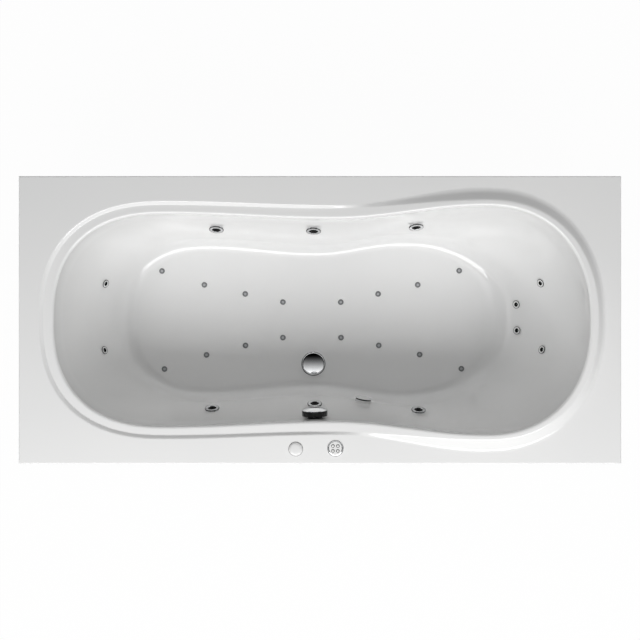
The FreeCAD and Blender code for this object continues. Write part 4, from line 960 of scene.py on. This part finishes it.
class Fittings:
    """All that shows in the shell: jets, injectors, waste, overflow, suction, knob and keypad."""

    def eyeballs(self, fitter: Fitter) -> None:
        """Builds the nozzle of each side jet in the cup of its trim."""
        for number, seat in enumerate(SIDE_JET_SEATS, 1):
            Turning(f"eyeball_{number}", EYEBALL, Slot.NOZZLE, 40, (f"side_jet_nozzle_{number}",),
                    f"nozzle_{number}").build(fitter, Seat(tuple(seat.at(EYEBALL_PIVOT)), seat.facing))

    def keys(self, fitter: Fitter) -> None:
        """Builds the keypad's four caps and the dark collars that paint the shadow gap round them."""
        x, y, z = PAD_SEAT.point
        seats = [Seat((x + across * KEY_OFFSET, y + up * KEY_OFFSET, z))
                 for across, up in ((-1, 1), (1, 1), (-1, -1), (1, -1))]
        for number, seat in enumerate(seats, 1):
            Turning(f"key_{number}", KEY_CAP, Slot.WHITE, 40, (f"keypad_button_{number}",),
                    f"button_{number}").build(fitter, seat)
        KEY_SHADOW_RINGS.build(fitter, *seats)

    def build(self, fitter: Fitter) -> None:
        """Builds every fitting."""
        self.eyeballs(fitter)
        SIDE_JETS.build(fitter)
        END_JETS.build(fitter)
        for turning in INJECTORS:
            turning.build(fitter, *INJECTOR_SEATS)
        for seat, turnings in ((WASTE_SEAT, WASTE), (OVERFLOW_SEAT, OVERFLOW), (SUCTION_SEAT, SUCTION),
                               (KNOB_SEAT, KNOB), (PAD_SEAT, PAD)):
            for turning in turnings:
                turning.build(fitter, seat)
        self.keys(fitter)


# ---- Under the shell --------------------------------------------------------------------------
# Half the profile of a coupling with a bead at each end: shares of the pipe's radius and half its length.
COUPLING = ((1.16, 0.6), (1.22, 0.7), (1.27, 0.86), (1.22, 1.0), (0.96, 1.0))
COUPLING_LENGTH = 1.25
X_WAY, Y_WAY, Z_WAY = (1.0, 0.0, 0.0), (0.0, 1.0, 0.0), (0.0, 0.0, 1.0)


@dataclass
class Pipework:
    """The pipes, hoses and conduits under the rim, with their couplings."""

    main_z: float = 0.470
    main_radius: float = 0.014
    side_y: float = 0.339
    end_x: float = 0.790
    corner: float = 0.150
    riser_y: float = -0.125
    waste_z: float = 0.062
    overflow_x: float = -0.076
    pump: Triple = (0.738, -0.150, 0.196)
    suction_y: float = -0.335
    stem_z: float = 0.556
    air_z: float = 0.505
    conduit_z: float = 0.530

    def lay(self, fitter: Fitter, name: str, node: str, runs: Sequence[Run],
            couplings: Sequence[Tuple[Triple, Triple]] = (), slot: Slot = Slot.PIPE) -> None:
        """Builds one piece of pipes and couplings.

        Args:
            fitter: makes the piece.
            name: the piece's name.
            node: the frame's node that it stands for.
            runs: its pipes.
            couplings: the place and the direction of each coupling on them.
            slot: the record's slot that it takes its finish from.
        """
        part = bmesh.new()
        for run in runs:
            run.sweep(part)
        radius = runs[0].radius
        half = radius * COUPLING_LENGTH
        shares = [(wide, -high) for wide, high in reversed(COUPLING)] + list(COUPLING)
        profile = [(radius * wide, half * high) for wide, high in shares]
        for place, facing in couplings:
            turned(profile, Seat(place, facing), 40, into=part)
        fitter.piece(name, part, slot, stands_for=[node])

    def main(self, fitter: Fitter) -> None:
        """Lays the water main round the basin and the pump's riser."""
        x, y, z, cut, low = self.end_x, self.side_y, self.main_z, self.corner, self.riser_y
        route = [(-0.342, y, z), (x - cut, y, z), (x, y - cut, z), (x, cut - y, z), (x - cut, -y, z),
                 (cut - x, -y, z), (-x, cut - y, z), (-x, 0.133, z)]
        couplings = [((0.15, y, z), X_WAY), ((0.5, y, z), X_WAY), ((0.3, -y, z), X_WAY),
                     ((-0.5, -y, z), X_WAY), ((x, 0.06, z), Y_WAY), ((-x, -0.05, z), Y_WAY)]
        self.lay(fitter, "water_main", "pressure_main", [Run(route, self.main_radius, 0.09)], couplings)
        riser = Run([(x, low, 0.282), (x, low, 0.4557)], self.main_radius, 0.03)
        self.lay(fitter, "riser_pipe", "pump_riser", [riser], [((x, low, 0.300), Z_WAY)])

    def branches(self, fitter: Fitter) -> None:
        """Lays the branch to each jet."""
        runs = []
        for seat in SIDE_JET_SEATS:
            start, facing = seat.at(-0.0365), seat.ahead()
            elbow = start - facing * ((start.y - math.copysign(self.side_y, start.y)) / facing.y)
            runs.append(Run([start, elbow, (elbow.x, elbow.y, self.main_z - 0.0143)], 0.008, 0.02, 20))
        for seat in END_JET_SEATS:
            start, elbow = seat.at(-0.0285), seat.at(-0.0385)
            way = Vector((math.copysign(self.end_x, start.x), seat.point[1], self.main_z)) - elbow
            runs.append(Run([start, elbow, elbow + way * (1 - 0.0168 / way.length)], 0.005, 0.008, 16))
        self.lay(fitter, "branch_pipes", "jet_branches", runs)

    def drains(self, fitter: Fitter) -> None:
        """Lays the overflow's pipe and the pump's suction pipe."""
        behind = OVERFLOW_SEAT.at(-0.020)
        x, y, low, waste_y = self.overflow_x, behind.y, self.waste_z, WASTE_SEAT.point[1]
        route = [(-0.043, y, behind.z), (x, y, behind.z), (x, y, low), (x, waste_y, low),
                 (-0.052, waste_y, low)]
        self.lay(fitter, "overflow_hose", "overflow_pipe", [Run(route, 0.012, 0.022)],
                 [((x, y, 0.30), Z_WAY)])
        start, facing = SUCTION_SEAT.at(-0.0365), SUCTION_SEAT.ahead()
        elbow = start - facing * ((start.y - self.suction_y) / facing.y)
        corner = Vector((self.pump[0], self.suction_y, self.pump[2]))
        draw = Run([start, elbow, corner, self.pump], 0.020, 0.045)
        self.lay(fitter, "suction_hose", "suction_pipe", [draw],
                 [(tuple(elbow.lerp(corner, share)), (1.0, 0.0, -0.03)) for share in (0.30, 0.55)])

    def lines(self, fitter: Fitter) -> None:
        """Lays the air line, the blower's pipe and the cables' conduits."""
        (x, y, _), end, high, valve_y = KNOB_SEAT.point, self.end_x, self.air_z, -0.169
        route = [(x, y, self.stem_z), (x, y, high), (end, y, high), (end, valve_y, high),
                 (end, valve_y, 0.4843)]
        self.lay(fitter, "air_hose", "air_line", [Run(route, 0.006, 0.018, 20)], slot=Slot.BLACK)
        y, z = -0.156, 0.1265
        blow = Run([(-0.683, y, z), (-0.510, y, z)], 0.006, 0.01, 20)
        self.lay(fitter, "blower_hose", "blower_pipe", [blow], [((-0.60, y, z), X_WAY)])
        (x, y, _), front, high = PAD_SEAT.point, -0.384, self.conduit_z
        keypad = [(x, y, self.stem_z), (x, y, high), (x, front, high), (-end, front, high),
                  (-end, 0.175, high), (-end, 0.175, 0.213)]
        x, high = -0.735, 0.273
        blower = [(x, 0.110, 0.213), (x, 0.110, high), (x, -0.125, high), (x, -0.125, 0.241)]
        self.lay(fitter, "conduit_hoses", "cable_conduits",
                 [Run(route, 0.004, 0.012, 16) for route in (keypad, blower)], slot=Slot.BLACK)

    def build(self, fitter: Fitter) -> None:
        """Lays every line."""
        for lay in (self.main, self.branches, self.drains, self.lines):
            lay(fitter)


BLOWER_SEAT = Seat((-0.745, -0.165, 0.119))
MOTOR_BARREL = mm(
    (0, 0.2), (50, 0.2), (56, 3), (58, 8), (58, 18), (54.5, 22), (50.5, 25), (50.5, 128), (54.5, 130),
    (57, 133), (57, 160), (54.5, 169), (47, 174.5), (42, 174.5), (41, 171.5), (33, 171.5), (32, 174.5),
    (25, 174.5),
    (24, 171.5), (0, 171.5))
BLOWER = (
    Turning("blower_can", mm(
        (0, 0.2), (60, 0.2), (62, 3), (62, 10), (60.4, 12), (60.4, 52), (61.4, 54), (62, 57), (61.4, 60),
        (60.4, 62), (60.4, 106), (62, 109), (62, 117.5), (58.2, 117.8), (58, 4), (30, 4), (30, 68), (5.2, 68),
        (5.2, 38), (0, 38)), Slot.BLACK, 72, ("blower_housing",)),
    Turning("blower_cap", mm(
        (18, 118.2), (61.8, 118.2), (62, 119.2), (61.4, 120.6), (56, 121.6), (47, 121.9), (46, 120.8),
        (42, 120.8), (41, 121.9), (36, 121.9), (35, 120.8), (31, 120.8), (30, 121.9), (20, 121.9),
        (18.2, 120.8)), Slot.BLACK, 72, ("blower_lid",)),
)
BOX_SCREW = mm((0, 198.4), (4.2, 198.4), (4.2, 199), (0, 199))
GLAND_NUTS = Turning("gland_nuts", mm((4.4, 0), (10, 0), (10, 5), (8.4, 5.6), (9.8, 6.2), (9.8, 10.4),
                                      (8, 12.8), (6, 13.8), (4.4, 13.8)), Slot.BLACK, 6, ("cable_glands",))


@dataclass
class Machines:
    """The pump's finned motor, the blower and the control box."""

    motor: Seat = Seat((0.738, -0.100, 0.196), (0.0, 1.0, 0.0))
    fins: int = 28
    foot_sine: float = -0.86

    def build_motor(self, fitter: Fitter) -> None:
        """Builds the motor: end bell, finned barrel, fan cowl and feet."""
        part = turned(MOTOR_BARREL, self.motor, 72)
        for k in range(self.fins):
            angle = 2 * math.pi * (k + 0.5) / self.fins
            if math.sin(angle) < self.foot_sine:
                continue
            fin = slab((0.048, -0.0011, 0.026), (0.0572, 0.0011, 0.127), 0.0006)
            turn = self.motor.matrix() @ Matrix.Rotation(angle, 4, "Z")
            bmesh.ops.transform(fin, matrix=turn, verts=fin.verts)
            poured(fin, part)
        for y in (-0.040, 0.060):
            poured(slab((0.704, y, 0.1192), (0.772, y + 0.020, 0.152), 0.003), part)
        fitter.piece("motor_frame", part, Slot.MOTOR, stands_for=["pump_motor"])

    def build_box(self, fitter: Fitter) -> None:
        """Builds the control box with its lid and screws, and the round cable glands."""
        box = slab((-0.7998, 0.0602, 0.1192), (-0.6902, 0.2398, 0.183), 0.004, 3)
        poured(slab((-0.8000, 0.0600, 0.1845), (-0.6900, 0.2400, 0.1988), 0.004, 3), box)
        for x in (-0.788, -0.702):
            for y in (0.072, 0.228):
                turned(BOX_SCREW, Seat((x, y, 0.0)), 24, into=box)
        fitter.piece("control_case", box, Slot.BOX, stands_for=["control_box"])
        GLAND_NUTS.build(fitter, *(Seat((x, y, 0.1990)) for x, y in ((-0.790, 0.175), (-0.735, 0.110))))

    def build(self, fitter: Fitter) -> None:
        """Builds the machines."""
        self.build_motor(fitter)
        for turning in BLOWER:
            turning.build(fitter, BLOWER_SEAT)
        self.build_box(fitter)


FOOT_PAD = mm((0, 0.2), (20.5, 0.2), (22.5, 1), (22.9, 3), (22.2, 5.2), (19.5, 6.8), (15, 8.2), (12.5, 11),
              (11.8, 16), (10.5, 17.8), (6.2, 17.8), (6.1, 8.2), (0, 8.2))
THREAD_START, THREAD_PITCH, THREAD_TURNS = 9.0, 1.5, 65
FOOT_ROD = mm((0, 8.4), (4.6, 8.4), *(
    point for z in (THREAD_START + k * THREAD_PITCH for k in range(THREAD_TURNS))
    for point in ((5.95, z + 0.4), (5, z + 1.1))), (4.8, 107.8), (0, 107.8))


@dataclass
class Feet:
    """The four levelling feet: a threaded rod in a swivelling pad."""

    along: float = 0.610
    across: float = 0.215

    def build(self, fitter: Fitter) -> None:
        """Builds each rod and pad on its own body."""
        places = [(x, y) for x in (-self.along, self.along) for y in (-self.across, self.across)]
        for number, (x, y) in enumerate(places, 1):
            seat, body = Seat((x, y, 0.0)), f"foot_{number}"
            Turning(f"foot_disc_{number}", FOOT_PAD, Slot.RUBBER, 56, (f"foot_pad_{number}",),
                    body).build(fitter, seat)
            Turning(f"foot_screw_{number}", FOOT_ROD, Slot.ZINC, 24, (f"foot_rod_{number}",),
                    body).build(fitter, seat)


# ---- Carried-over nodes -----------------------------------------------------------------------
@dataclass
class FrameParts:
    """The frame's own nodes that stay, each dressed in the finish of its slot."""

    nodes: Dict[str, bpy.types.Object]
    record: dict

    def dress(self, paint: Paintshop) -> None:
        """Gives every node the material of the slot that the record names for it."""
        slots = {row["node"]: row["material_slot"] for row in self.record["subparts"]}
        for name, node in self.nodes.items():
            node.data.materials.clear()
            node.data.materials.append(paint.of(Slot(slots[name])))
        log.info("dressed %d nodes of the frame", len(self.nodes))


# ---- Studio -----------------------------------------------------------------------------------
@dataclass
class Studio:
    """Camera straight above the rim, a pale floor, and soft light from the side of the controls."""

    camera_height: float = 4.090
    lens: float = 69.8
    floor_half: float = 12.0
    floor_tone: float = 0.90
    floor_glow: float = 0.97
    fill: float = 0.235
    key_place: Triple = (0.0, -3.05, 4.15)
    key_aim: Triple = (0.0, 0.1, 0.2)
    key_size: Pair = (6.4, 2.5)
    key_power: float = 236.0
    canopy_height: float = 4.6
    canopy_half: Pair = (8.0, 3.5)
    canopy_near: Tuple[float, ...] = (1.15, 0.0, -1.25, 0.65)
    canopy_far: Tuple[float, ...] = (0.0, 1.0, -1.95, -1.55)
    canopy_aside: Tuple[float, ...] = (1.0, 0.03, 1.9, 2.5)

    def camera(self) -> None:
        """Places the camera."""
        data = bpy.data.cameras.new("camera")
        data.lens = self.lens
        data.sensor_width = 36.0
        data.clip_end = 50.0
        made = stood("camera", data)
        made.location = (0.0, 0.0, self.camera_height)
        bpy.context.scene.camera = made

    def panel(self, name: str, half: Pair, height: float, surface: Socket,
              bench: NodeBench) -> bpy.types.Object:
        """Lays a level panel of the studio.

        Args:
            name: its name.
            half: half its length and half its width.
            height: its height above the ground.
            surface: the shader that it shows.
            bench: the bench of its material.

        Returns:
            The panel.
        """
        bench.link(surface, bench.tree.nodes["Material Output"].inputs["Surface"])
        part = bmesh.new()
        bmesh.ops.create_grid(part, x_segments=1, y_segments=1, size=1.0)
        bmesh.ops.scale(part, vec=(*half, 1.0), verts=part.verts)
        bmesh.ops.translate(part, vec=(0.0, 0.0, height), verts=part.verts)
        mesh = meshed(name, part)
        mesh.materials.append(bench.owner)
        made = stood(name, mesh)
        return made

    def floor(self) -> None:
        """Lays the floor, white where it is seen, with the object's shadow kept in it."""
        bench = NodeBench(bpy.data.materials.new("floor_white"))
        for name, value in (("Base Color", (*(self.floor_tone,) * 3, 1.0)), ("Roughness", 0.9),
                            ("Specular IOR Level", 0.0)):
            bench.shader.inputs[name].default_value = value
        glow = bench.add("Emission", Color=(1.0, 1.0, 1.0, 1.0), Strength=1.0)
        mix = bench.add("MixShader")
        bench.link(bench.maths("MULTIPLY", bench.seen(), self.floor_glow), mix.inputs[0])
        bench.link(bench.shader.outputs[0], mix.inputs[1])
        bench.link(glow.outputs[0], mix.inputs[2])
        self.panel("floor", (self.floor_half,) * 2, 0.0, mix.outputs[0], bench)

    def world(self) -> None:
        """Lights the room evenly, and shows it white."""
        bench = NodeBench(bpy.data.worlds.new("room"))
        bpy.context.scene.world = bench.owner
        back = bench.tree.nodes["Background"]
        back.inputs["Color"].default_value = (1.0, 1.0, 1.0, 1.0)
        bench.link(bench.spread(bench.seen(), self.fill, 1.0, 0.0, 1.0), back.inputs["Strength"])

    def key(self) -> None:
        """Hangs the rectangular soft light."""
        data = bpy.data.lights.new("key", "AREA")
        data.shape = "RECTANGLE"
        data.size, data.size_y = self.key_size
        data.energy = self.key_power
        made = stood("key", data)
        made.location = self.key_place
        aim = Vector(self.key_aim) - Vector(self.key_place)
        made.rotation_euler = aim.to_track_quat("-Z", "Y").to_euler()

    def canopy(self) -> None:
        """Hangs a canopy that only polished surfaces mirror: pale towards -Y, dark behind and aside."""
        bench = NodeBench(bpy.data.materials.new("canopy"))
        split = bench.add("SeparateXYZ")
        bench.link(bench.place(), split.inputs[0])
        near = bench.spread(split.outputs["Y"], *self.canopy_near)
        far = bench.spread(split.outputs["Y"], *self.canopy_far)
        aside = bench.spread(bench.maths("ABSOLUTE", split.outputs["X"]), *self.canopy_aside)
        level = bench.maths("MULTIPLY", bench.maths("MULTIPLY", near, far), aside)
        glow = bench.add("Emission", Color=(1.0, 1.0, 1.0, 1.0))
        bench.link(bench.maths("MULTIPLY", level, near), glow.inputs["Strength"])
        made = self.panel("canopy", self.canopy_half, self.canopy_height, glow.outputs[0], bench)
        made.visible_camera = made.visible_diffuse = made.visible_shadow = False
        made.visible_transmission = False

    def build(self) -> None:
        """Sets the camera, the floor and the lights."""
        bpy.context.scene.view_settings.view_transform = "Standard"
        for part in (self.camera, self.floor, self.world, self.key, self.canopy):
            part()
        log.info("studio ready")


def main() -> None:
    """Builds the studio, the shell and every fitting, in order."""
    logging.basicConfig(level=logging.INFO, format="%(name)s: %(message)s")
    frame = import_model()
    fitter = Fitter(Paintshop())
    Studio().build()
    FrameParts(frame["nodes"], frame["record"]).dress(fitter.paint)
    for group in (TubShell(), Fittings(), Pipework(), Machines(), Feet()):
        group.build(fitter)


if __name__ == "__main__":
    main()
